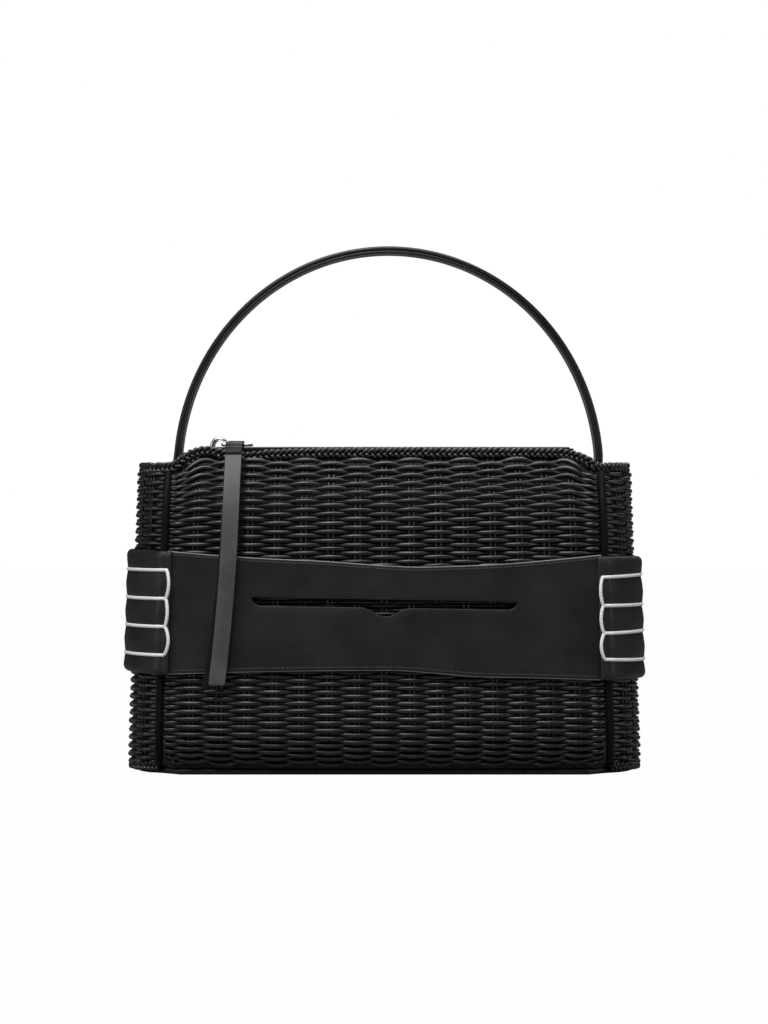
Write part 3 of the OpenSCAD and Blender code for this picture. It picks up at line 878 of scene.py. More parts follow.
@dataclass(frozen=True)
class CordFinish(Finish):
    """Twisted thread or cord."""

    turns: float = 3.0
    depth: float = 0.12

    def shade(self, s: Sketch) -> dict[str, Any]:
        """Twisted plies and streaks in the colour, and plies in the relief.

        Args:
            s: Sketch of the material's nodes.
        Returns:
            Values or sockets by input name.
        """
        twist = self.group(s, Effects.thread_twist(), Turns=self.turns)
        fibre = self.group(s, Effects.strand_fibre())
        plies = s.math("MULTIPLY", twist.outputs["Ply"], 0.7)
        share = s.math("ADD", plies, s.math("MULTIPLY", fibre.outputs["Streak"], 0.45))
        return {
            "Base_Color": s.blend(share, self.tint(0.76), self.tint()),
            "Roughness": self.rough,
            "Sheen_Weight": 0.15,
            "Normal": self.bump(s, twist.outputs["Ply"], self.depth, 0.8),
        }


@dataclass(frozen=True)
class MetalFinish(Finish):
    """Polished metal with faint smudges."""

    def shade(self, s: Sketch) -> dict[str, Any]:
        """A plain metal whose gloss is smudged.

        Args:
            s: Sketch of the material's nodes.
        Returns:
            Values or sockets by input name.
        """
        at = s.node("ShaderNodeTexCoord").outputs["Object"]
        smudge = s.node("ShaderNodeTexNoise", None, Vector=at, Scale=420.0, Detail=3.0).outputs[0]
        return {
            "Base_Color": self.tint(),
            "Metallic": 1.0,
            "Roughness": s.spread(smudge, 0.35, 0.65, self.rough - 0.04, self.rough + 0.08),
        }


@dataclass(frozen=True)
class FabricFinish(Finish):
    """Plain or twilled cloth."""

    threads: float = 2200.0

    def shade(self, s: Sketch) -> dict[str, Any]:
        """Crossed threads in the colour and the relief.

        Args:
            s: Sketch of the material's nodes.
        Returns:
            Values or sockets by input name.
        """
        at = s.node("ShaderNodeTexCoord").outputs["Object"]
        lines = [s.node("ShaderNodeTexWave", {"bands_direction": way}, Vector=at, Scale=self.threads / 20,
                        Distortion=0.6).outputs["Fac"] for way in ("X", "DIAGONAL")]
        height = s.math("MULTIPLY", lines[0], lines[1])
        return {
            "Base_Color": s.blend(height, self.tint(0.6), self.tint(1.4)),
            "Roughness": self.rough,
            "Sheen_Weight": 0.2,
            "Normal": self.bump(s, height, 0.1, 0.6),
        }


@dataclass(frozen=True)
class Finishes:
    """All finishes of the bag."""

    wicker: Finish = WickerFinish("wicker_cane", (0.0066, 0.0066, 0.0072), 0.34)
    stake: Finish = WickerFinish("wicker_stake", (0.011, 0.011, 0.0118), 0.33)
    # Painted shade: the corner posts are near black and almost without gloss, standing in for the shadow in
    # the corner grooves
    shaded_post: Finish = WickerFinish("wicker_post_shade", (0.003, 0.003, 0.0032), 0.55, coat=0.0, spec=0.12)
    base: Finish = LeatherFinish("base_leather", (0.011, 0.011, 0.012), 0.42, grain=0.02)
    belt: Finish = LeatherFinish("belt_leather", (0.0122, 0.0124, 0.0134), 0.5, grain=0.04, spec=0.35)
    # Partly edge paint and partly painted highlight: the belt's rims and rounded edges are pale grey,
    # standing in for the light line they catch
    paint: Finish = LeatherFinish("edge_paint_and_highlight", (0.2, 0.2, 0.204), 0.5, grain=0.02, wear=0.3, spec=0.3)
    thread: Finish = CordFinish("dark_thread", (0.024, 0.024, 0.0255), 0.55, turns=5.0, depth=0.05)
    cord: Finish = CordFinish("white_cord", (1.0, 0.985, 0.95), 0.6)
    strap: Finish = LeatherFinish("strap_leather", (0.009, 0.009, 0.0097), 0.36, grain=0.02, spec=0.5)
    # The lining's pale grey is partly its own colour and partly painted light, standing in for the light its
    # underside catches from the white surroundings
    strap_lining: Finish = LeatherFinish("strap_lining", (0.2, 0.2, 0.205), 0.8,
                                         grain=0.08, scale=1700.0, spec=0.2)
    lining: Finish = FabricFinish("lining_twill", (0.02, 0.02, 0.022), 0.8)
    closure: Finish = LeatherFinish("closure_leather", (0.011, 0.011, 0.012), 0.42, grain=0.03)
    tape: Finish = FabricFinish("zip_tape", (0.012, 0.012, 0.013), 0.75, threads=3600.0)
    metal: Finish = MetalFinish("polished_nickel", (0.8, 0.8, 0.81), 0.2)
    # Painted sheen: the pull strip's leather is far paler than the other black leather, standing in for the
    # light that its smooth face catches
    pull: Finish = LeatherFinish("pull_leather", (0.078, 0.078, 0.08), 0.5, grain=0.03)
    pull_tab: Finish = LeatherFinish("pull_tab_leather", (0.012, 0.012, 0.013), 0.5,
                                     grain=0.03, wear=0.15, spec=0.16)
    # Painted shade: the darkest leather, on the pull strip's edges and over the whole rear tail, stands in
    # for the shade on them
    pull_painted_shade: Finish = LeatherFinish("pull_painted_shade", (0.006, 0.006, 0.0065), 0.5,
                                      grain=0.02, wear=0.1, spec=0.2)


FINISH = Finishes()


@dataclass
class WovenPanel:
    """One woven wall: weavers that pass over and under pairs of thin stakes."""

    name: str
    node: str
    gaps: int
    rows: int
    surface: Callable[[float, np.ndarray], tuple[np.ndarray, np.ndarray]]
    mirror: tuple[float, float, float] = (1.0, 1.0, 1.0)
    seed: int = 1
    samples: int = 8
    depth: float = 0.5
    row_step: float = 0.004
    cane: float = 1.42
    cane_thin: float = 0.86
    cane_swell: float = 0.17
    cane_jitter: float = 0.05
    swing: float = 1.6
    swing_power: float = 0.7
    lobe_depth: float = 0.4
    lobe_jitter: float = 0.16
    column_jitter: float = 0.12
    sway_jitter: float = 0.17
    end_share: float = 0.3
    end_depth: float = -0.9
    stake_r: float = 0.62
    stake_apart: float = 2.7
    stake_points: int = 60
    stake_jitter: float = 0.12
    wander_jitter: float = 0.14
    end_stake_in: float = 1.6
    end_stake_depth: float = -1.4
    hidden: tuple[float, float] = (1.0, 0.0)
    hidden_fade: float = 0.03
    press: float = 1.2
    press_flat: float = 0.5

    @property
    def flip(self) -> np.ndarray:
        """Factors that mirror the wall."""
        return np.array(self.mirror)

    @property
    def turned(self) -> bool:
        """Whether the mirror turns the faces inside out."""
        return bool(np.prod(self.flip) < 0)

    def recess(self, row: np.ndarray) -> np.ndarray:
        """How far the weave is pressed in behind the belt.

        Args:
            row: Shares of the rows.
        Returns:
            0 in the open and 1 behind the belt.
        """
        first, last = self.hidden
        return ease((row - first) / self.hidden_fade) * ease((last - row) / self.hidden_fade)

    def weavers(self, rng: np.random.Generator) -> None:
        """Makes the weavers, row by row, with their ends turned in.

        Args:
            rng: Source of the small differences.
        """
        draft = MeshDraft(f"{self.name}_weave")
        a = np.linspace(-1, 1, self.gaps * self.samples + 1)
        p = (a + 1) / 2 * self.gaps
        stops = np.arange(self.gaps + 1)
        lean = rng.normal(0, self.column_jitter, (2, len(stops)))
        far = ease(1 - np.minimum(p, self.gaps - p) / self.end_share)
        for i in range(self.rows):
            row = (i + 0.5) / self.rows
            wave = (1.0 if i % 2 == 0 else -1.0) * np.cos(math.pi * p)
            bulge = np.sign(wave) * np.abs(wave) ** self.swing_power
            lobes = np.interp(p, stops, rng.normal(0, self.lobe_jitter, len(stops)))
            pressed = self.recess(row)
            swing = self.swing * (1 - self.press_flat * pressed)
            depth = self.depth - self.press * pressed + swing * bulge + self.lobe_depth * lobes
            depth = depth * (1 - far) + self.end_depth * far
            sway = np.interp(p, stops, rng.normal(0, self.sway_jitter, len(stops)) + lean[i % 2])
            points, normals = self.surface(row, a)
            above = self.surface(min(1.0, row + self.row_step), a)[0]
            below = self.surface(max(0.0, row - self.row_step), a)[0]
            path = (points + depth[:, None] * normals + sway[:, None] * unit(above - below)) * self.flip
            swell = self.cane_thin + self.cane_swell * np.clip(bulge, -0.2, 1)
            radius = self.cane * swell * (1 + self.cane_jitter * rng.normal())
            if self.turned:
                path, normals, radius = path[::-1], normals[::-1], radius[::-1]
            draft.add_tube(path, radius, normals * self.flip, tone=float(rng.random()))
        place(draft.make([FINISH.wicker.material()]), Body.BAG, Slot.WICKER, self.node)

    def stakes(self, rng: np.random.Generator) -> None:
        """Makes the pairs of stakes, of which those at the wall's ends stand deeper.

        Args:
            rng: Source of the small differences.
        """
        draft = MeshDraft(f"{self.name}_stakes")
        rows = np.linspace(0.0, 1.0, self.stake_points)
        knots = np.linspace(0, 1, 9)
        for j in range(self.gaps + 1):
            at = 2 * j / self.gaps - 1
            centre = [self.surface(float(t), np.array([at, at + 1e-3])) for t in rows]
            spots = np.array([c[0][0] for c in centre])
            faces = np.array([c[1][0] for c in centre])
            aside = unit(np.array([c[0][1] - c[0][0] for c in centre]))
            for k in (-0.5, 0.5):
                shift = k * self.stake_apart + rng.normal(0, self.stake_jitter)
                deep = self.depth - self.press * self.recess(rows)
                if abs(at) == 1:
                    shift = -at * self.end_stake_in
                    deep = np.full_like(rows, self.end_stake_depth)
                wander = np.interp(rows, knots, rng.normal(0, self.wander_jitter, len(knots)))
                path = (spots + (shift + wander)[:, None] * aside + deep[:, None] * faces) * self.flip
                draft.add_tube(path, self.stake_r, faces * self.flip, sides=6, tone=float(rng.random()))
        place(draft.make([FINISH.stake.material()], tidy=self.turned), Body.BAG, Slot.WICKER)

    def build(self) -> None:
        """Makes the weavers and the stakes as two pieces."""
        rng = np.random.default_rng(self.seed)
        self.weavers(rng)
        self.stakes(rng)


@dataclass
class Basket:
    """The woven walls with their posts, plaits, lining and base."""

    form: BasketForm = FORM
    belt_s: float = 128.0
    edge: float = 1.0
    loose: float = 0.06
    corner_bend: float = 2.2
    belted_rows: tuple[float, float] = (0.37, 0.64)
    side_foot: float = 6.0
    side_over: float = 1.0
    side_slope: float = 1.9
    side_swing: float = 1.45
    period: float = 8.7
    strand_r: float = 1.18
    strand_swell: float = 0.04
    core_r: float = 1.3
    core_in: float = 0.6
    plait_jitter: float = 0.24
    jitter_step: int = 12
    rim_up: float = 4.2
    side_rim_up: float = 3.8
    rim_swing: tuple[float, float] = (2.15, 1.35)
    rim_waves: tuple[tuple[float, ...], tuple[float, ...]] = (
        (-125, -118, -110, -102, -97, -93, -88, -80, -66, -40, 0, 60, 100, 111, 118, 125),
        (1.0, 2.7, 2.9, 2.0, 0.2, -0.4, -0.9, -1.4, 0.1, 0.7, 0.9, 0.9, 0.8, 0.8, 1.9, 0.8))
    wave_from: float = 4.5
    foot_z: float = 4.4
    foot_out: float = 0.8
    foot_reach: float = 0.97
    foot_swing: tuple[float, float] = (1.9, 1.0)
    foot_strand_r: float = 1.15
    post_r: float = 2.2
    post_out: float = 2.5
    post_ends: tuple[float, float] = (5.0, 0.4)
    lining_in: tuple[float, float] = (3.1, 3.0)
    lining_hem: float = 5.5
    lining_foot: float = 0.4
    lining_shrink: float = 0.995
    loop_r: float = 1.15
    loop_outs: tuple[float, ...] = (1.0, 3.1, 5.2, 7.3)
    loop_span: tuple[float, float] = (0.6, 17.0)
    loop_lift: float = 0.4
    loop_sink: float = 0.35
    loop_keep: float = 0.9
    base_round: float = 1.1

    def front(self, row: float, a: np.ndarray) -> tuple[np.ndarray, np.ndarray]:
        """Surface of the front wall by row: looser near the rim, and bent down at the upper corners.

        Args:
            row: Share of the rows, 0 at the base and 1 at the rim.
            a: Places across, -1 to 1.
        Returns:
            Points and normals.
        """
        last = self.form.wall_len - self.edge
        low = self.edge + (row + self.loose * (row**4 - row)) * (last - self.edge)
        over = max(0.0, (low - self.belt_s) / (last - self.belt_s))
        s = low + over**self.corner_bend * (self.form.wall_end(a) - self.edge - last)
        return self.form.wall(a, s)

    def side(self, row: float, a: np.ndarray, slope: float = 0.0) -> tuple[np.ndarray, np.ndarray]:
        """Surface of the right side wall by row.

        Args:
            row: Share of the rows, 0 at the base and 1 at the rim.
            a: Places from front to back, -1 to 1.
            slope: How far the rows in the middle climb from their middle to the back.
        Returns:
            Points and normals.
        """
        level = self.side_foot + row * (self.form.side_top + self.side_over - self.side_foot)
        return self.form.side(a, level + slope * min(1.0, 4 * row, 4 * (1 - row)) * a)

    def walls(self) -> None:
        """Makes the four woven walls."""
        belted = {"hidden": self.belted_rows}
        WovenPanel("front", "front_wall", 16, 78, self.front, seed=11, **belted).build()
        WovenPanel("back", "back_wall", 16, 78, self.front, (1, -1, 1), seed=12, **belted).build()
        dense = {"swing": self.side_swing}
        right, left = (partial(self.side, slope=way * self.side_slope) for way in (-1, 1))
        WovenPanel("right", "right_side", 6, 70, right, seed=13, **dense).build()
        WovenPanel("left", "left_side", 6, 70, left, (-1, 1, 1), seed=14, **dense).build()

    def rim_line(self) -> tuple[np.ndarray, np.ndarray]:
        """Closed middle line of the rim plait.

        Returns:
            Points at even lengths and the ways that look out of the basket.
        """
        u = np.linspace(-1, 1, 160)
        edge, face = self.form.wall(u, self.form.wall_end(u))
        front = edge + self.rim_up * unit(np.cross(face, tangent(edge)))
        v = np.linspace(-1, 1, 60)
        right = self.form.side(v, np.full_like(v, self.form.side_top))[0] + self.side_rim_up * UP
        half = np.vstack([front, right])
        line = evened(resample(np.vstack([half, half * HALF_TURN]), 860, closed=True), 30)
        raised = line[:, 2] > self.form.side_top + self.wave_from
        line[:, 2] += np.interp(line[:, 0], *self.rim_waves) * raised
        line = evened(line, 12)
        return line, unit(np.cross(tangent(line, closed=True), UP))

    def plait(self, draft: MeshDraft, line: np.ndarray, out: np.ndarray, swing: tuple[float, float],
              r: float, seed: int, closed: bool = False) -> None:
        """Adds a three-strand plait and the core that it is laid round.

        Args:
            draft: Draft to add to.
            line: Middle line at even lengths.
            out: Ways that look out of the basket.
            swing: Swing up and down, and swing in and out.
            r: Radius of a strand.
            seed: Seed of the small differences.
            closed: Whether the line runs back to its start.
        """
        rng = np.random.default_rng(seed)
        tall, deep = swing
        up = unit(np.cross(out, tangent(line, closed)))
        count = len(line)
        turns = count * float(np.linalg.norm(line[1] - line[0])) / self.period
        turns = round(turns) if closed else turns
        t = np.arange(count) / count * turns * 2 * math.pi
        knots = np.arange(0, count + self.jitter_step, self.jitter_step)
        for k in range(3):
            phase = t + 2 * math.pi * k / 3
            bumps = np.resize(rng.normal(0, self.plait_jitter, len(knots) - 1), len(knots))
            rise = tall * np.sin(phase) + np.interp(np.arange(count), knots, bumps)
            path = line + rise[:, None] * up + (deep * np.sin(2 * phase))[:, None] * out
            radius = r * (1 + self.strand_swell * np.cos(phase))
            draft.add_tube(path, radius, out, tone=0.25 + 0.25 * k, closed=closed)
        draft.add_tube(line - self.core_in * out, self.core_r, out, sides=6, tone=0.1, closed=closed)

    def rim(self) -> None:
        """Makes the plait round the mouth."""
        draft = MeshDraft("rim_plait")
        line, out = self.rim_line()
        self.plait(draft, line, out, self.rim_swing, self.strand_r, 21, closed=True)
        place(draft.make([FINISH.wicker.material()]), Body.BAG, Slot.WICKER, "rim_braid")

    def foot_plaits(self) -> None:
        """Makes the plaits at the foot of the side walls."""
        draft = MeshDraft("foot_plaits")
        v = np.linspace(-self.foot_reach, self.foot_reach, 140)
        arc, face = self.form.side(v, np.full_like(v, self.foot_z))
        arc = resample(arc + self.foot_out * face, len(v))
        for turn in (np.ones(3), HALF_TURN):
            self.plait(draft, arc * turn, face * turn, self.foot_swing, self.foot_strand_r, 22)
        place(draft.make([FINISH.wicker.material()]), Body.BAG, Slot.WICKER)

    def posts(self) -> None:
        """Makes the four posts in the corner grooves, near black as painted shade of the grooves."""
        draft = MeshDraft("corner_canes")
        above, below = self.post_ends
        z = np.linspace(self.form.base_t + above, self.form.side_top - below, 50)
        x = self.form.half_w(z) + self.post_out
        y = self.form.setback(self.form.tilt_z(z)) - self.form.half_d
        for mx, my in CORNERS:
            path = np.stack([mx * x, my * y, z], axis=1)
            draft.add_tube(path, self.post_r, np.array([mx, my, 0.0]), sides=14, tone=0.4)
        place(draft.make([FINISH.shaded_post.material()]), Body.BAG, Slot.WICKER, "corner_posts")

    def cloth(self) -> None:
        """Makes the lining: a cloth hung from the rim against the inside of the walls."""
        draft = MeshDraft("lining_cloth")
        a, b = np.linspace(-1, 1, 90), np.linspace(-1, 1, 36)
        loops = []
        for row in np.linspace(0.0, 1.0, 48):
            walls = (self.front(float(row), a), self.side(float(row), b))
            half = np.vstack([points - deep * face for (points, face), deep in zip(walls, self.lining_in)])
            loops.append(np.vstack([half, half * HALF_TURN]))
        flat = np.array([self.lining_shrink, self.lining_shrink, 0.0])
        foot = loops[0] * flat + (self.form.base_t + self.lining_foot) * UP
        hem = loops[-1] + self.lining_hem * unit(loops[-1] - loops[-3])
        draft.add_grid(np.stack([foot, *loops, hem]), around=True, turn=True)
        cloth = place(draft.make([FINISH.lining.material()]), Body.BAG, Slot.LINING, "lining")

    def corner_loops(self) -> None:
        """Makes the bent canes that fill the rounded lower corners of the front and back walls."""
        draft = MeshDraft("corner_loops")
        s = np.linspace(*self.loop_span, 26)
        for k, out in enumerate(self.loop_outs):
            edge, face = self.form.wall(np.ones_like(s), s)
            edge = edge + (self.loop_lift - self.loop_sink * k) * face
            edge[:, 0] = np.minimum(edge[:, 0] + out, self.form.half_w(edge[:, 2]) - self.loop_keep)
            for mx, my in CORNERS:
                flip = np.array([mx, my, 1])
                way = slice(None, None, mx * my)
                draft.add_tube((edge * flip)[way], self.loop_r, (face * flip)[way], tone=0.2 + 0.2 * k)
        place(draft.make([FINISH.wicker.material()]), Body.BAG, Slot.WICKER)

    def build(self) -> None:
        """Makes the walls and what holds them together."""
        self.walls()
        self.rim()
        self.foot_plaits()
        self.posts()
        self.cloth()
        self.corner_loops()
        base = softened_copy("base_panel", "base_board", self.base_round, FINISH.base.material())
        place(base, Body.BAG, Slot.BASE, "base_board")


@dataclass
class Belt:
    """Leather belt on the front and back, its wraps round the sides and the white lacing."""

    form: BasketForm = FORM
    low: float = 59.8
    high: float = 132.0
    thick: float = 2.2
    dip: float = 6.2
    rise: float = 2.4
    clear: float = 0.3
    end_gap: float = 1.2
    edge_round: float = 0.5
    low_hang: tuple[float, float, float] = (3.3, 2.0, 60.0)
    high_hang: tuple[float, float, float] = (3.2, -45.0, 25.0)
    high_lift: tuple[float, float, float] = (0.9, 60.0, 126.0)
    slot_z: float = 103.6
    slot_slope: float = 0.0168
    slot_h: float = 4.7
    slot_taper: float = 0.0016
    slot_half: float = 77.2
    slot_round: float = 6.0
    slot_ends: tuple[float, float] = (70.0, 78.0)
    slot_zone: tuple[float, float, float] = (78.5, 88.0, 112.0)
    notch_x: float = 0.7
    notch_half: float = 14.4
    notch_h: float = 5.0
    notch_ends: tuple[float, float] = (-14.0, 15.5)
    seam_in: float = 2.1
    seam_end: float = 4.0
    seam_slant: float = 0.3
    wrap_t: float = 2.6
    wrap_keep: float = 4.2
    wrap_clear: float = 1.0
    wrap_low: float = 1.6
    wrap_sag: float = 1.3
    wrap_round: float = 4.0
    wrap_edge: float = 0.5
    wrap_lips: tuple[float, float] = (0.026, 0.030)
    lip_thick: float = 0.45
    lip_thin: float = 0.25
    drop: float = 3.0
    tuck: float = 2.0
    tuck_turn: float = 0.06
    puff: float = 1.3
    pinch: float = 0.75
    hoop_gap: float = 16.5
    hoop_mid: float = 93.8
    hoop_set: dict[int, tuple[tuple[float, ...], tuple[float, ...]]] = field(default_factory=lambda: {
        1: ((-1.0, -0.5, -1.4, -0.2), (2.4, 0.6, 1.1, -0.1)),
        -1: ((0.0, 0.1, -0.1, 0.0), (0.9, 0.9, 0.9, 0.9)),
    })
    hoop_r: float = 1.02
    hoop_sink: float = 0.45
    hoop_turn: float = 0.004
    hoop_rise: float = 0.35
    run_r: float = 0.98
    run_bow: float = 0.034
    run_power: float = 0.7
    run_rise: float = 0.1
    run_jitter: float = 0.008

    @property
    def mid(self) -> float:
        """Middle height of the belt."""
        return (self.low + self.high) / 2

    @property
    def wall_half(self) -> float:
        """Half the front wall's width at the belt's middle."""
        return float(self.form.half_w(np.array(self.mid)))

    @property
    def half(self) -> float:
        """Half the belt's width."""
        return self.wall_half - self.end_gap

    @property
    def lean(self) -> float:
        """Lean of the side walls."""
        return math.atan((self.form.base_w - self.form.rim_w) / 2 / self.form.top)

    @property
    def wrap(self) -> tuple[float, float, float]:
        """Circle that the wraps follow.

        Returns:
            Inner radius, place of the middle across and half angle.
        """
        reach = self.form.bulge + self.form.face_out + self.wrap_clear
        inside = reach - self.form.side_gap
        r = (inside**2 + self.form.half_d**2 - self.wrap_keep**2) / 2 / (inside - self.wrap_keep)
        x = self.wall_half + reach - r
        return r, x, math.acos((self.wall_half - x) / r)

    def face(self, x: np.ndarray, z: np.ndarray, lift: float) -> np.ndarray:
        """Points in front of the wall at belt height.

        Args:
            x: Places across.
            z: Heights.
            lift: Distance from the belt's inner face.
        Returns:
            Points.
        """
        u = x / self.wall_half
        y = -self.form.half_d - self.form.bow * (1 - u * u) - self.form.face_out - self.clear - lift
        return np.stack([x, y, z], axis=-1)

    def edges(self, x: np.ndarray, front: bool) -> tuple[np.ndarray, np.ndarray]:
        """Heights of the belt's lower and upper edges.

        Args:
            x: Places across.
            front: Whether it is the front belt, whose right half hangs a little.
        Returns:
            Lower and upper heights.
        """
        u = x / self.half
        low = self.low + self.rise * (1 - u * u)
        high = self.high - self.dip * (1 - u * u)
        if front:
            low = low - ramp(x, *self.low_hang)
            high = high - ramp(x, *self.high_hang) + ramp(x, *self.high_lift)
        return low, high

    def slot(self, x: np.ndarray) -> tuple[np.ndarray, np.ndarray]:
        """Heights of the slot's lower and upper edges, equal past its ends.

        Args:
            x: Places across.
        Returns:
            Lower and upper heights.
        """
        top = self.slot_z - self.slot_slope * x
        reach = np.clip((self.slot_half - np.abs(x)) / self.slot_round, 0.0, 1.0)
        tall = (self.slot_h - self.slot_taper * x) * np.sqrt(1 - (1 - reach) ** 2)
        notch = self.notch_h * ease(1 - np.abs(x - self.notch_x) / self.notch_half)
        return top - tall - notch, top

    def sheet(self, name: str, front: bool) -> bpy.types.Object:
        """Makes a belt of rounded leather whose outer edges are coloured pale grey, partly edge paint and
        partly a painted highlight.

        Args:
            name: Name of the piece.
            front: Whether it has the slot.
        Returns:
            The object.
        """
        ends, notch = np.linspace(*self.slot_ends, 14), np.linspace(*self.notch_ends, 30)
        marks = [np.linspace(-self.half, self.half, 110), -ends, ends, notch]
        x = np.unique(np.round(np.concatenate(marks), 2))
        low, high = self.edges(x, front)
        cut_low, cut_high = self.slot(x)
        if not front:
            cut_low = cut_high = (low + high) / 2
        t = np.linspace(0, 1, 9)[:, None]
        draft = MeshDraft(name)
        for start, end in ((low, cut_low), (cut_high, high)):
            draft.add_grid(self.face(np.tile(x, (len(t), 1)), start + (end - start) * t, 0.0))
        # Slot 1 is the pale edge colour, partly edge paint and partly a painted highlight, for the rims and
        # rounded edges
        obj = draft.make([FINISH.belt.material(), FINISH.paint.material()], weld=2e-5)
        solid = obj.modifiers.new("thick", "SOLIDIFY")
        solid.thickness = self.thick * MM
        solid.offset = 1.0
        solid.material_offset_rim = 1
        settle(obj)
        bevel = obj.modifiers.new("round", "BEVEL")
        bevel.width = self.edge_round * MM
        bevel.segments = 3
        bevel.limit_method = "ANGLE"
        bevel.angle_limit = math.radians(50)
        # The rounded edges take the pale edge colour, which is partly a painted highlight
        bevel.material = 1
        settle(obj, 60)
        # The slot's own edges stay as dark as the leather
        reach, bottom, top = (size * MM for size in self.slot_zone)
        for polygon in obj.data.polygons:
            if abs(polygon.center.x) < reach and bottom < polygon.center.z < top:
                polygon.material_index = 0
        if not front:
            obj.data.transform(Matrix.Diagonal((1, -1, 1, 1)))
            obj.data.flip_normals()
        return obj

    def seams(self, name: str, front: bool) -> bpy.types.Object:
        """Makes the stitches along a belt's edges.

        Args:
            name: Name of the piece.
            front: Whether it is the front belt.
        Returns:
            The object.
        """
        draft = MeshDraft(name)
        x = np.linspace(-self.half + self.seam_end, self.half - self.seam_end, 200)
        low, high = self.edges(x, front)
        turn = np.array([1.0, 1.0 if front else -1.0, 1.0])
        look = np.array([0.0, -turn[1], 0.0])
        for z, slant in ((low + self.seam_in, self.seam_slant), (high - self.seam_in, -self.seam_slant)):
            draft.add_stitches(self.face(x, z, self.thick) * turn, look, slant=slant)
        return draft.make([FINISH.thread.material()], tidy=not front)

    def on_wrap(self, r: np.ndarray, turn: np.ndarray, z: np.ndarray, side: int) -> np.ndarray:
        """Points by the wrap's radius, angle and height.

        Args:
            r: Radii from the wrap's middle.
            turn: Angles, negative to the front.
            z: Heights from the belt's middle.
            side: 1 for the right wrap and -1 for the left one.
        Returns:
            Points.
        """
        end = self.wrap[2] - self.tuck_turn
        r = r - self.tuck * ease((np.abs(turn) - end) / self.tuck_turn)
        x = r * np.cos(turn)
        across = self.wrap[1] + x * math.cos(self.lean) - z * math.sin(self.lean)
        up = self.mid + x * math.sin(self.lean) + z * math.cos(self.lean) - (self.drop if side > 0 else 0.0)
        return np.stack([side * across, r * np.sin(turn), up], axis=-1)

    def hoops(self, t: np.ndarray, side: int) -> np.ndarray:
        """Heights of the lacing's four hoops from the belt's middle.

        Args:
            t: Places round the wrap, -1 at the front and 1 at the back.
            side: 1 for the right wrap and -1 for the left one.
        Returns:
            Heights by place and hoop.
        """
        level = self.hoop_mid - self.mid + (np.arange(4) - 1.5) * self.hoop_gap
        shift, climb = (np.array(row) for row in self.hoop_set[side])
        return level + shift + climb * t[:, None] ** 2

    def wrap_piece(self, name: str, side: int) -> bpy.types.Object:
        """Makes one wrap, puffed between the hoops and pinched under them.

        Args:
            name: Name of the piece.
            side: 1 for the right wrap and -1 for the left one.
        Returns:
            The object.
        """
        r, _, half = self.wrap
        tall = (self.high - self.low) / 2
        corner = self.wrap_round * (1 - np.cos(np.linspace(0, math.pi / 2, 9)))
        inner = tall - self.wrap_round - 1.0
        z = np.concatenate([corner - tall, np.linspace(-inner, inner, 60), (tall - corner)[::-1]])
        lip, tip = (half + turn for turn in self.wrap_lips)
        angles = np.concatenate([[-tip], np.linspace(-lip, lip, 72), [tip]])
        zz, tt = np.meshgrid(z, angles)
        round_t = np.clip(tt / half, -1, 1)
        near = np.abs((zz - self.wrap_low)[..., None] - self.hoops(round_t[:, 0], side)[:, None]).min(axis=2)
        puff = self.puff * np.sqrt(np.clip(near / (self.hoop_gap / 2), 0, 1)) - self.pinch
        inset = 1 - np.clip((tall - np.abs(zz)) / self.wrap_round, 0, 1)
        edge = np.sqrt(np.clip(1 - inset**2, 0, 1))
        thin = np.concatenate([[self.lip_thick], 1 - self.lip_thin * np.clip(1 - np.arange(36) / 3.0, 0, 1)])
        thin = np.concatenate([thin, thin[::-1]])[:, None]
        outside = r + (self.wrap_edge + (self.wrap_t - self.wrap_edge + puff) * edge) * thin
        sag = self.wrap_low + (self.wrap_sag if side > 0 else 0.0) * np.cos(round_t * math.pi / 2)
        outer = self.on_wrap(outside, tt, zz - sag, side)
        ring = np.concatenate([outer, self.on_wrap(np.full_like(tt, r), tt, zz - sag, side)[:, ::-1]], axis=1)
        draft = MeshDraft(name)
        draft.add_grid(ring, around=True)
        for k in (0, -1):
            draft.add_grid(np.stack([ring[k, :len(z)], ring[k, len(z):][::-1]]))
        return draft.make([FINISH.belt.material()], weld=1e-5, tidy=True)

    def lacing(self, name: str, side: int) -> bpy.types.Object:
        """Makes the cord round one wrap: four hoops and the bowed runs that join them.

        Args:
            name: Name of the piece.
            side: 1 for the right wrap and -1 for the left one.
        Returns:
            The object.
        """
        rng = np.random.default_rng(31 + side)
        r, _, half = self.wrap
        draft = MeshDraft(name)
        t = np.linspace(-1, 1, 70)
        s = np.linspace(0, 1, 26)
        bow = np.sin(math.pi * s) ** self.run_power
        for k, z in enumerate(self.hoops(t, side).T):
            high = r + self.wrap_t - self.hoop_sink + self.hoop_rise * t**4
            path = self.on_wrap(high, t * (half + self.hoop_turn), z, side)
            out = unit(path - self.on_wrap(np.zeros_like(t), t * half, z, side))
            draft.add_tube(path, self.hoop_r, out, sides=10, tone=0.2 * k)
            if k == 3:
                continue
            for end in (-1, 1):
                turn = end * (half + self.hoop_turn + (self.run_bow + self.run_jitter * rng.normal()) * bow)
                first, last = self.hoops(np.array([end]), side)[0, k:k + 2]
                high = r + self.wrap_t + self.run_rise * bow
                run = self.on_wrap(high, turn, first + (last - first) * s, side)
                look = np.array([0.0, float(end), 0.0])
                draft.add_tube(run, self.run_r, look, sides=10, tone=0.1 + 0.2 * k)
        return draft.make([FINISH.cord.material()], tidy=side < 0)

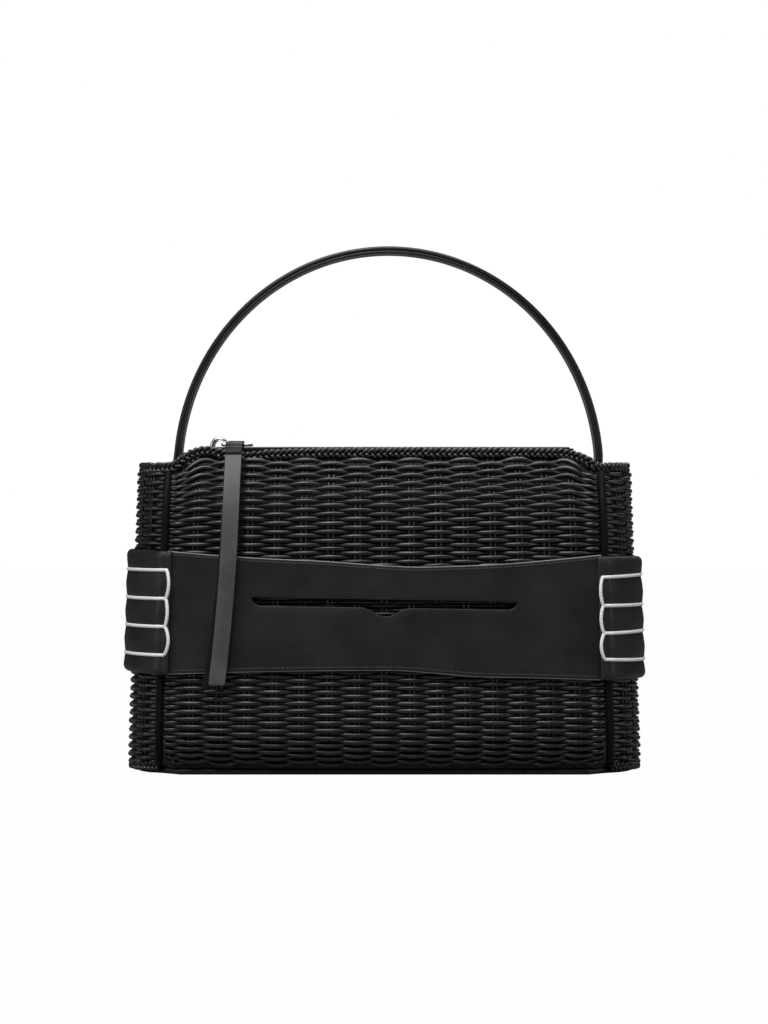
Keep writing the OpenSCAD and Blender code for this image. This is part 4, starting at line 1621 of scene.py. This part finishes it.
    def build(self) -> None:
        """Makes the belt, the wraps and the lacing."""
        for name, front in (("front", True), ("back", False)):
            place(self.sheet(f"{name}_belt", front), Body.BAG, Slot.BELT, f"belt_{name}")
            place(self.seams(f"{name}_belt_stitches", front), Body.BAG, Slot.BELT)
        for name, side in (("right", 1), ("left", -1)):
            place(self.wrap_piece(f"{name}_side_wrap", side), Body.BAG, Slot.BELT, f"{name}_wrap")
            place(self.lacing(f"{name}_cord", side), Body.BAG, Slot.CORD, f"{name}_lacing")


@dataclass
class Strap:
    """Arched carrying strap: outer leather and grey lining, a little to the right of the middle."""

    form: BasketForm = FORM
    span: float = 252.0
    top: float = 313.5
    outer_t: float = 2.7
    outer_round: float = 1.25
    lining_t: float = 1.9
    lining_round: float = 0.5
    glue: float = 0.04
    width: float = 16.0
    tail: float = 62.0
    seat: float = 12.9469
    shift: float = 2.4
    shift_from: float = 15.0
    shift_over: float = 30.0

    def line(self) -> np.ndarray:
        """Middle line of the strap.

        Returns:
            Points in x and z from its right to its left end.
        """
        side_top = self.form.side_top
        t = np.linspace(1 / 40, 1, 40)
        z = side_top - self.tail * t
        x = self.span / 2 + (self.form.half_w(z) + self.seat - self.span / 2) * ease(1.6 * t - 0.2)
        leg = np.stack([x, z], axis=1)
        turn = np.linspace(0, math.pi, 160)
        rise = self.top - self.outer_t - side_top
        arch = np.stack([self.span / 2 * np.cos(turn), side_top + rise * np.sin(turn)], axis=1)
        line = np.vstack([leg[::-1], arch, leg * np.array([-1, 1])])
        line[:, 0] += self.shift * ease((line[:, 1] - side_top + self.shift_from) / self.shift_over)
        return line

    def layer(self, name: str, inner: float, outer: float, finish: Finish,
              round_r: float) -> bpy.types.Object:
        """Makes one layer as a band with rounded edges, which are dyed like the outer leather.

        Args:
            name: Name of the piece.
            inner: Distance of its inner face from the middle line.
            outer: Distance of its outer face.
            finish: Finish of the layer's inner face.
            round_r: Radius of its edges.
        Returns:
            The object.
        """
        line = self.line()
        along = tangent(line)
        out = np.stack([along[:, 1], -along[:, 0]], axis=1)
        mid, deep, wide = (inner + outer) / 2, (outer - inner) / 2, self.width / 2
        section = []
        for cx, cy, start in ((1, 1, 0), (-1, 1, 90), (-1, -1, 180), (1, -1, 270)):
            for a in np.radians(start + np.linspace(0, 90, 5)):
                lift = cx * (deep - round_r) + round_r * math.cos(a)
                section.append((mid + lift, cy * (wide - round_r) + round_r * math.sin(a)))
        lifts, across = np.array(section).T
        x, z = (line[:, None, k] + lifts * out[:, None, k] for k in (0, 1))
        grid = np.stack([x, np.tile(across, (len(line), 1)), z], axis=-1)
        # Only the inner face has the layer's own finish
        lined = np.abs(np.arange(len(lifts)) - 9) <= 2
        draft = MeshDraft(name)
        draft.add_grid(grid, around=True, slots=np.tile(lined, len(line) - 1))
        for k in (0, -1):
            draft.add_grid(np.stack([grid[k, :10], grid[k, 10:][::-1]]))
        return draft.make([FINISH.strap.material(), finish.material()], weld=1e-5, tidy=True)

    def build(self) -> None:
        """Makes both layers."""
        outer = self.layer("strap_top_layer", self.glue, self.outer_t, FINISH.strap, self.outer_round)
        place(outer, Body.BAG, Slot.STRAP, "strap_outer")
        under = self.layer("strap_under_layer", -self.lining_t, -self.glue, FINISH.strap_lining,
                           self.lining_round)
        place(under, Body.BAG, Slot.STRAP_LINING, "strap_lining")


@dataclass
class Zip:
    """Leather closure, tapes, teeth, slider, ring and the long pull."""

    form: BasketForm = FORM
    closure_top: float = 192.227
    closure_half: float = 109.0
    closure_y: float = 27.99
    edge_in: float = 3.1
    edge_up: float = 0.1
    edge_r: float = 0.85
    slider_round: float = 0.4
    bridge_up: float = 1.2
    bridge_half_w: float = 2.7
    bridge_power: float = 0.75
    bridge_outer: tuple[float, float, float, float] = (-99.0, 0.0, 5.8, 6.4)
    bridge_inner: tuple[float, float, float, float] = (-98.2, -0.1, 3.4, 4.0)
    pull_z: float = 193.827
    pull_t: float = 1.1
    pull_w: float = 9.7
    pull_x: float = 88.5
    pull_y: float = 54.75
    bend_r: float = 7.0
    tab_len: float = 6.0
    tab_round: float = 0.3
    tab_seam_in: float = 1.1
    tail_start: float = 2.5
    tail_round: float = 1.2
    tail_gap: float = 0.1
    narrow_from: float = 0.48
    tail_sides: tuple[float, ...] = (-0.5, -0.485, -0.46, -0.2, 0.2, 0.46, 0.485, 0.5)
    tail_lifts: tuple[tuple[float, ...], tuple[float, ...]] = (
        (0.25, 0.02, 0.0, 0.0, 0.0, 0.0, 0.02, 0.25), (0.75, 0.96, 1.0, 1.0, 1.0, 1.0, 0.96, 0.75))
    front_tail: tuple[float, float] = (53.7, 9.0)
    rear_tail: tuple[float, float] = (51.4, 12.9)
    lean_power: float = 1.9
    carried: dict[str, tuple[Slot, Finish]] = field(default_factory=lambda: {
        "closure_front": (Slot.CLOSURE, FINISH.closure),
        "closure_back": (Slot.CLOSURE, FINISH.closure),
        "zip_tape_front": (Slot.TAPE, FINISH.tape),
        "zip_tape_back": (Slot.TAPE, FINISH.tape),
        "zip_teeth_front": (Slot.METAL, FINISH.metal),
        "zip_teeth_back": (Slot.METAL, FINISH.metal),
        "zip_stops": (Slot.METAL, FINISH.metal),
        "pull_ring": (Slot.METAL, FINISH.metal),
    })

    @property
    def drape_y(self) -> float:
        """Depth of the shoulder's middle, round which the pull is draped."""
        return self.form.shoulder_r - self.form.half_d

    @property
    def drape_r(self) -> float:
        """Radius of the drape over the shoulder."""
        return self.pull_y + self.drape_y

    @property
    def drape_tilt(self) -> float:
        """Lean at which the bend over the rim passes into the drape."""
        rise = self.pull_z - self.bend_r - self.form.shoulder_z
        return math.asin(rise / (self.drape_r - self.bend_r))

    @property
    def bend_len(self) -> float:
        """Length of the bend over the rim."""
        return self.bend_r * (math.pi / 2 - self.drape_tilt)

    @property
    def shoulder_end(self) -> float:
        """Length along the pull at which it starts to hang straight."""
        return self.bend_len + self.drape_r * self.drape_tilt

    def drape(self, t: np.ndarray, lift: np.ndarray | float) -> tuple[np.ndarray, np.ndarray]:
        """Points of the pull over the rim and down the front, in y and z.

        Args:
            t: Lengths from the bend over the rim.
            lift: Distance outwards from the inner face.
        Returns:
            Points and the ways that look outwards.
        """
        past = np.maximum(0.0, self.drape_tilt - (t - self.bend_len) / self.drape_r)
        turn = np.where(t < self.bend_len, math.pi / 2 - t / self.bend_r, past)
        out = np.stack([-np.cos(turn), np.sin(turn)], axis=-1)
        lift = np.asarray(lift)[..., None]
        bend_y = self.drape_y - (self.drape_r - self.bend_r) * math.cos(self.drape_tilt)
        near = np.array([bend_y, self.pull_z - self.bend_r]) + (self.bend_r + lift) * out
        hang = np.maximum(0.0, t - self.shoulder_end)
        far = np.array([self.drape_y, self.form.shoulder_z]) + (self.drape_r + lift) * out
        far = far - np.stack([np.zeros_like(hang), hang], axis=-1)
        return np.where((t < self.bend_len)[..., None], near, far), out

    def tail(self, draft: MeshDraft, inner: float, size: tuple[float, float], dark: bool) -> None:
        """Adds one hanging tail whose rounded edges are darkened as painted shade.

        Args:
            draft: Draft to add to.
            inner: Distance of its inner face from the drape.
            size: Height of its lower end and sideways lean over its length.
            dark: Whether its faces are as dark as its edges, a painted shade.
        """
        low, lean = size
        start = self.bend_len + self.tail_start
        end = self.shoulder_end + self.form.shoulder_z - low
        t = np.linspace(start, end, 90)
        x = -self.pull_x - lean * ((t - start) / (end - start)) ** self.lean_power
        near_end = np.clip((t - end) / self.tail_round + 1, 0, 1)
        width = self.pull_w * np.sqrt(1 - near_end**2 / 4)
        sides = np.array(self.tail_sides + self.tail_sides[::-1])
        columns = []
        for side, lift in zip(sides, sum(self.tail_lifts, ())):
            high = inner + (self.pull_t - self.tail_gap) * lift
            yz = self.drape(t, np.full_like(t, high))[0]
            columns.append(np.stack([x + side * width, yz[:, 0], yz[:, 1]], axis=1))
        grid = np.stack(columns, axis=1)
        outermost = np.abs(sides) > self.narrow_from
        narrow = outermost & np.roll(outermost, -1)
        # The faces take the pale pull leather, a painted sheen; the edges take the darkest leather, a painted
        # shade, and with dark set the faces take it too
        draft.add_grid(grid, around=True, slots=np.tile(narrow | dark, len(t) - 1))
        n = len(self.tail_sides)
        for k in (0, -1):
            draft.add_grid(np.stack([grid[k, :n], grid[k, n:][::-1]]), slots=int(dark))

    def dress(self) -> None:
        """Gives the nodes that stay as CAD solids their finishes."""
        for node, (slot, finish) in self.carried.items():
            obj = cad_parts[node]
            obj.data.materials.clear()
            obj.data.materials.append(finish.material())

    def closure_edge(self) -> bpy.types.Object:
        """Makes the rolled edges along the closure.

        Returns:
            The object.
        """
        draft = MeshDraft("closure_edge")
        x = np.linspace(-self.closure_half, self.closure_half, 120)
        u = 2 * x / self.form.rim_w
        z = np.full_like(x, self.closure_top + self.edge_up)
        for turn in (1, -1):
            y = turn * (self.edge_in - self.closure_y + self.form.bow * u * u)
            draft.add_tube(np.stack([x, y, z], axis=1), self.edge_r, UP)
        return draft.make([FINISH.closure.material()])

    def bridge(self) -> bpy.types.Object:
        """Makes the slider's rounded bridge, thick at its top and open below for the ring.

        Returns:
            The object.
        """
        t = np.linspace(0.0, math.pi, 40)
        arcs = []
        for x, up, reach, rise in (self.bridge_outer, self.bridge_inner):
            z = self.closure_top + self.bridge_up + up + rise * np.sin(t)
            arcs.append(np.stack([x + reach * np.cos(t), np.zeros_like(t), z], axis=1))
        phi = np.linspace(0, 2 * math.pi, 20, endpoint=False)
        c, s = [np.sign(f(phi)) * np.abs(f(phi)) ** self.bridge_power for f in (np.cos, np.sin)]
        mid, half = (arcs[0] + arcs[1]) / 2, (arcs[0] - arcs[1]) / 2
        wide = np.array([0.0, self.bridge_half_w, 0.0])
        draft = MeshDraft("slider_bridge")
        draft.add_grid(mid[:, None] + c[None, :, None] * half[:, None] + s[None, :, None] * wide, around=True)
        return draft.make([FINISH.metal.material()], tidy=True)

    def pull_seam(self) -> bpy.types.Object:
        """Makes the stitches across the end of the pull's tab.

        Returns:
            The object.
        """
        at = np.array([self.bend_len + self.tab_len - self.tab_seam_in])
        spot, look = self.drape(at, 3.0 * self.pull_t)
        across = np.linspace(-0.42, 0.42, 20) * self.pull_w - self.pull_x
        path = np.stack(np.broadcast_arrays(across, *spot[0]), axis=1)
        draft = MeshDraft("pull_stitches")
        draft.add_stitches(path, np.array([0.0, *look[0]]), pitch=1.5, length=1.1, radius=0.33)
        return draft.make([FINISH.thread.material()])

    def build(self) -> None:
        """Dresses the nodes that stay and makes the other pieces."""
        self.dress()
        place(self.closure_edge(), Body.BAG, Slot.CLOSURE)
        shell = softened_copy("slider_shell", "zip_slider", self.slider_round, FINISH.metal.material())
        place(shell, Body.SLIDER, Slot.METAL, "zip_slider")
        place(self.bridge(), Body.SLIDER, Slot.METAL)
        tab = softened_copy("pull_tab", "pull_loop", self.tab_round, FINISH.pull_tab.material())
        place(tab, Body.PULL, Slot.PULL, "pull_loop")
        strip = MeshDraft("pull_tails")
        self.tail(strip, self.pull_t, self.front_tail, dark=False)
        # The rear tail is painted wholly in the darkest leather as painted shade
        self.tail(strip, 0.0, self.rear_tail, dark=True)
        materials = [FINISH.pull.material(), FINISH.pull_painted_shade.material()]
        place(strip.make(materials, weld=1e-5, tidy=True), Body.PULL, Slot.PULL, "pull_strip")
        place(self.pull_seam(), Body.PULL, Slot.PULL)


@dataclass
class Studio:
    """White floor and world, lamps and camera."""

    eye: tuple[float, float, float] = (-0.0003, -1.7, 0.1546)
    lens: float = 132.8
    sensor: float = 36.0
    aim: tuple[float, float, float] = (0.0, 0.0, 0.13)
    ambient: float = 0.05
    floor_half: float = 6000.0
    floor_z: float = -0.4
    floor_tone: float = 0.25
    floor_glow: float = 0.985
    lamps: tuple[tuple[str, tuple[float, float, float], tuple[float, float], float], ...] = (
        ("key", (-0.35, -0.9, 1.3), (1.1, 0.7), 14.0),
        ("top", (0.1, -0.25, 1.5), (1.3, 0.6), 12.0),
        ("left_fill", (-1.4, -0.7, 0.45), (0.7, 1.0), 4.5),
        ("right_fill", (1.4, -0.7, 0.45), (0.7, 1.0), 4.5),
        ("rear", (0.3, 1.0, 1.25), (1.2, 0.7), 10.0),
    )

    def world(self) -> None:
        """Makes the world white to the camera and grey to everything else."""
        world = bpy.data.worlds.new("studio")
        world.use_nodes = True
        s = Sketch(world.node_tree)
        seen = s.node("ShaderNodeLightPath").outputs["Is Camera Ray"]
        color = s.blend(seen, (self.ambient, self.ambient, self.ambient, 1.0), (1.0, 1.0, 1.0, 1.0))
        back = s.node("ShaderNodeBackground", None, Color=color, Strength=1.0)
        s.node("ShaderNodeOutputWorld", None, Surface=back.outputs[0])
        bpy.context.scene.world = world

    def floor(self) -> None:
        """Makes the white floor, which keeps a faint shadow."""
        draft = MeshDraft("floor")
        ends = np.array([-self.floor_half, self.floor_half])
        x, y = np.meshgrid(ends, ends)
        draft.add_grid(np.stack([x, y, np.full_like(x, self.floor_z)], axis=-1))
        made = bpy.data.materials.new("floor_white")
        made.use_nodes = True
        s = Sketch(made.node_tree)
        path = s.node("ShaderNodeLightPath").outputs
        glow = s.node("ShaderNodeEmission", None, Color=(1.0, 1.0, 1.0, 1.0), Strength=1.0)
        matte = s.node("ShaderNodeBsdfDiffuse", None, Color=(*[self.floor_tone] * 3, 1.0))
        share = s.math("MULTIPLY", path["Is Camera Ray"], self.floor_glow)
        mix = s.node("ShaderNodeMixShader", None, i0=share, i1=matte.outputs[0], i2=glow.outputs[0])
        s.node("ShaderNodeOutputMaterial", None, Surface=mix.outputs[0])
        draft.make([made])

    def build(self) -> None:
        """Makes the whole studio."""
        self.world()
        self.floor()
        for name, spot, size, power in self.lamps:
            light = bpy.data.lights.new(name, "AREA")
            light.shape = "RECTANGLE"
            light.size, light.size_y = size
            light.energy = power
            lamp = bpy.data.objects.new(name, light)
            lamp.location = spot
            look = Vector(self.aim) - Vector(spot)
            lamp.rotation_euler = look.to_track_quat("-Z", "Y").to_euler()
            bpy.context.scene.collection.objects.link(lamp)
        camera = bpy.data.cameras.new("camera")
        camera.sensor_fit = "HORIZONTAL"
        camera.sensor_width = self.sensor
        camera.lens = self.lens
        eye = bpy.data.objects.new("camera", camera)
        eye.location = self.eye
        eye.rotation_euler = (math.pi / 2, 0, 0)
        bpy.context.scene.collection.objects.link(eye)
        bpy.context.scene.camera = eye
        bpy.context.scene.view_settings.view_transform = "Standard"


def main() -> None:
    """Builds the bag and the studio."""
    logging.basicConfig(level=logging.INFO, format="%(name)s %(message)s")
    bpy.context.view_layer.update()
    for piece in (Basket(), Belt(), Strap(), Zip(), Studio()):
        log.info("making %s", type(piece).__name__)
        piece.build()
    bpy.context.view_layer.update()


if __name__ == "__main__":
    main()
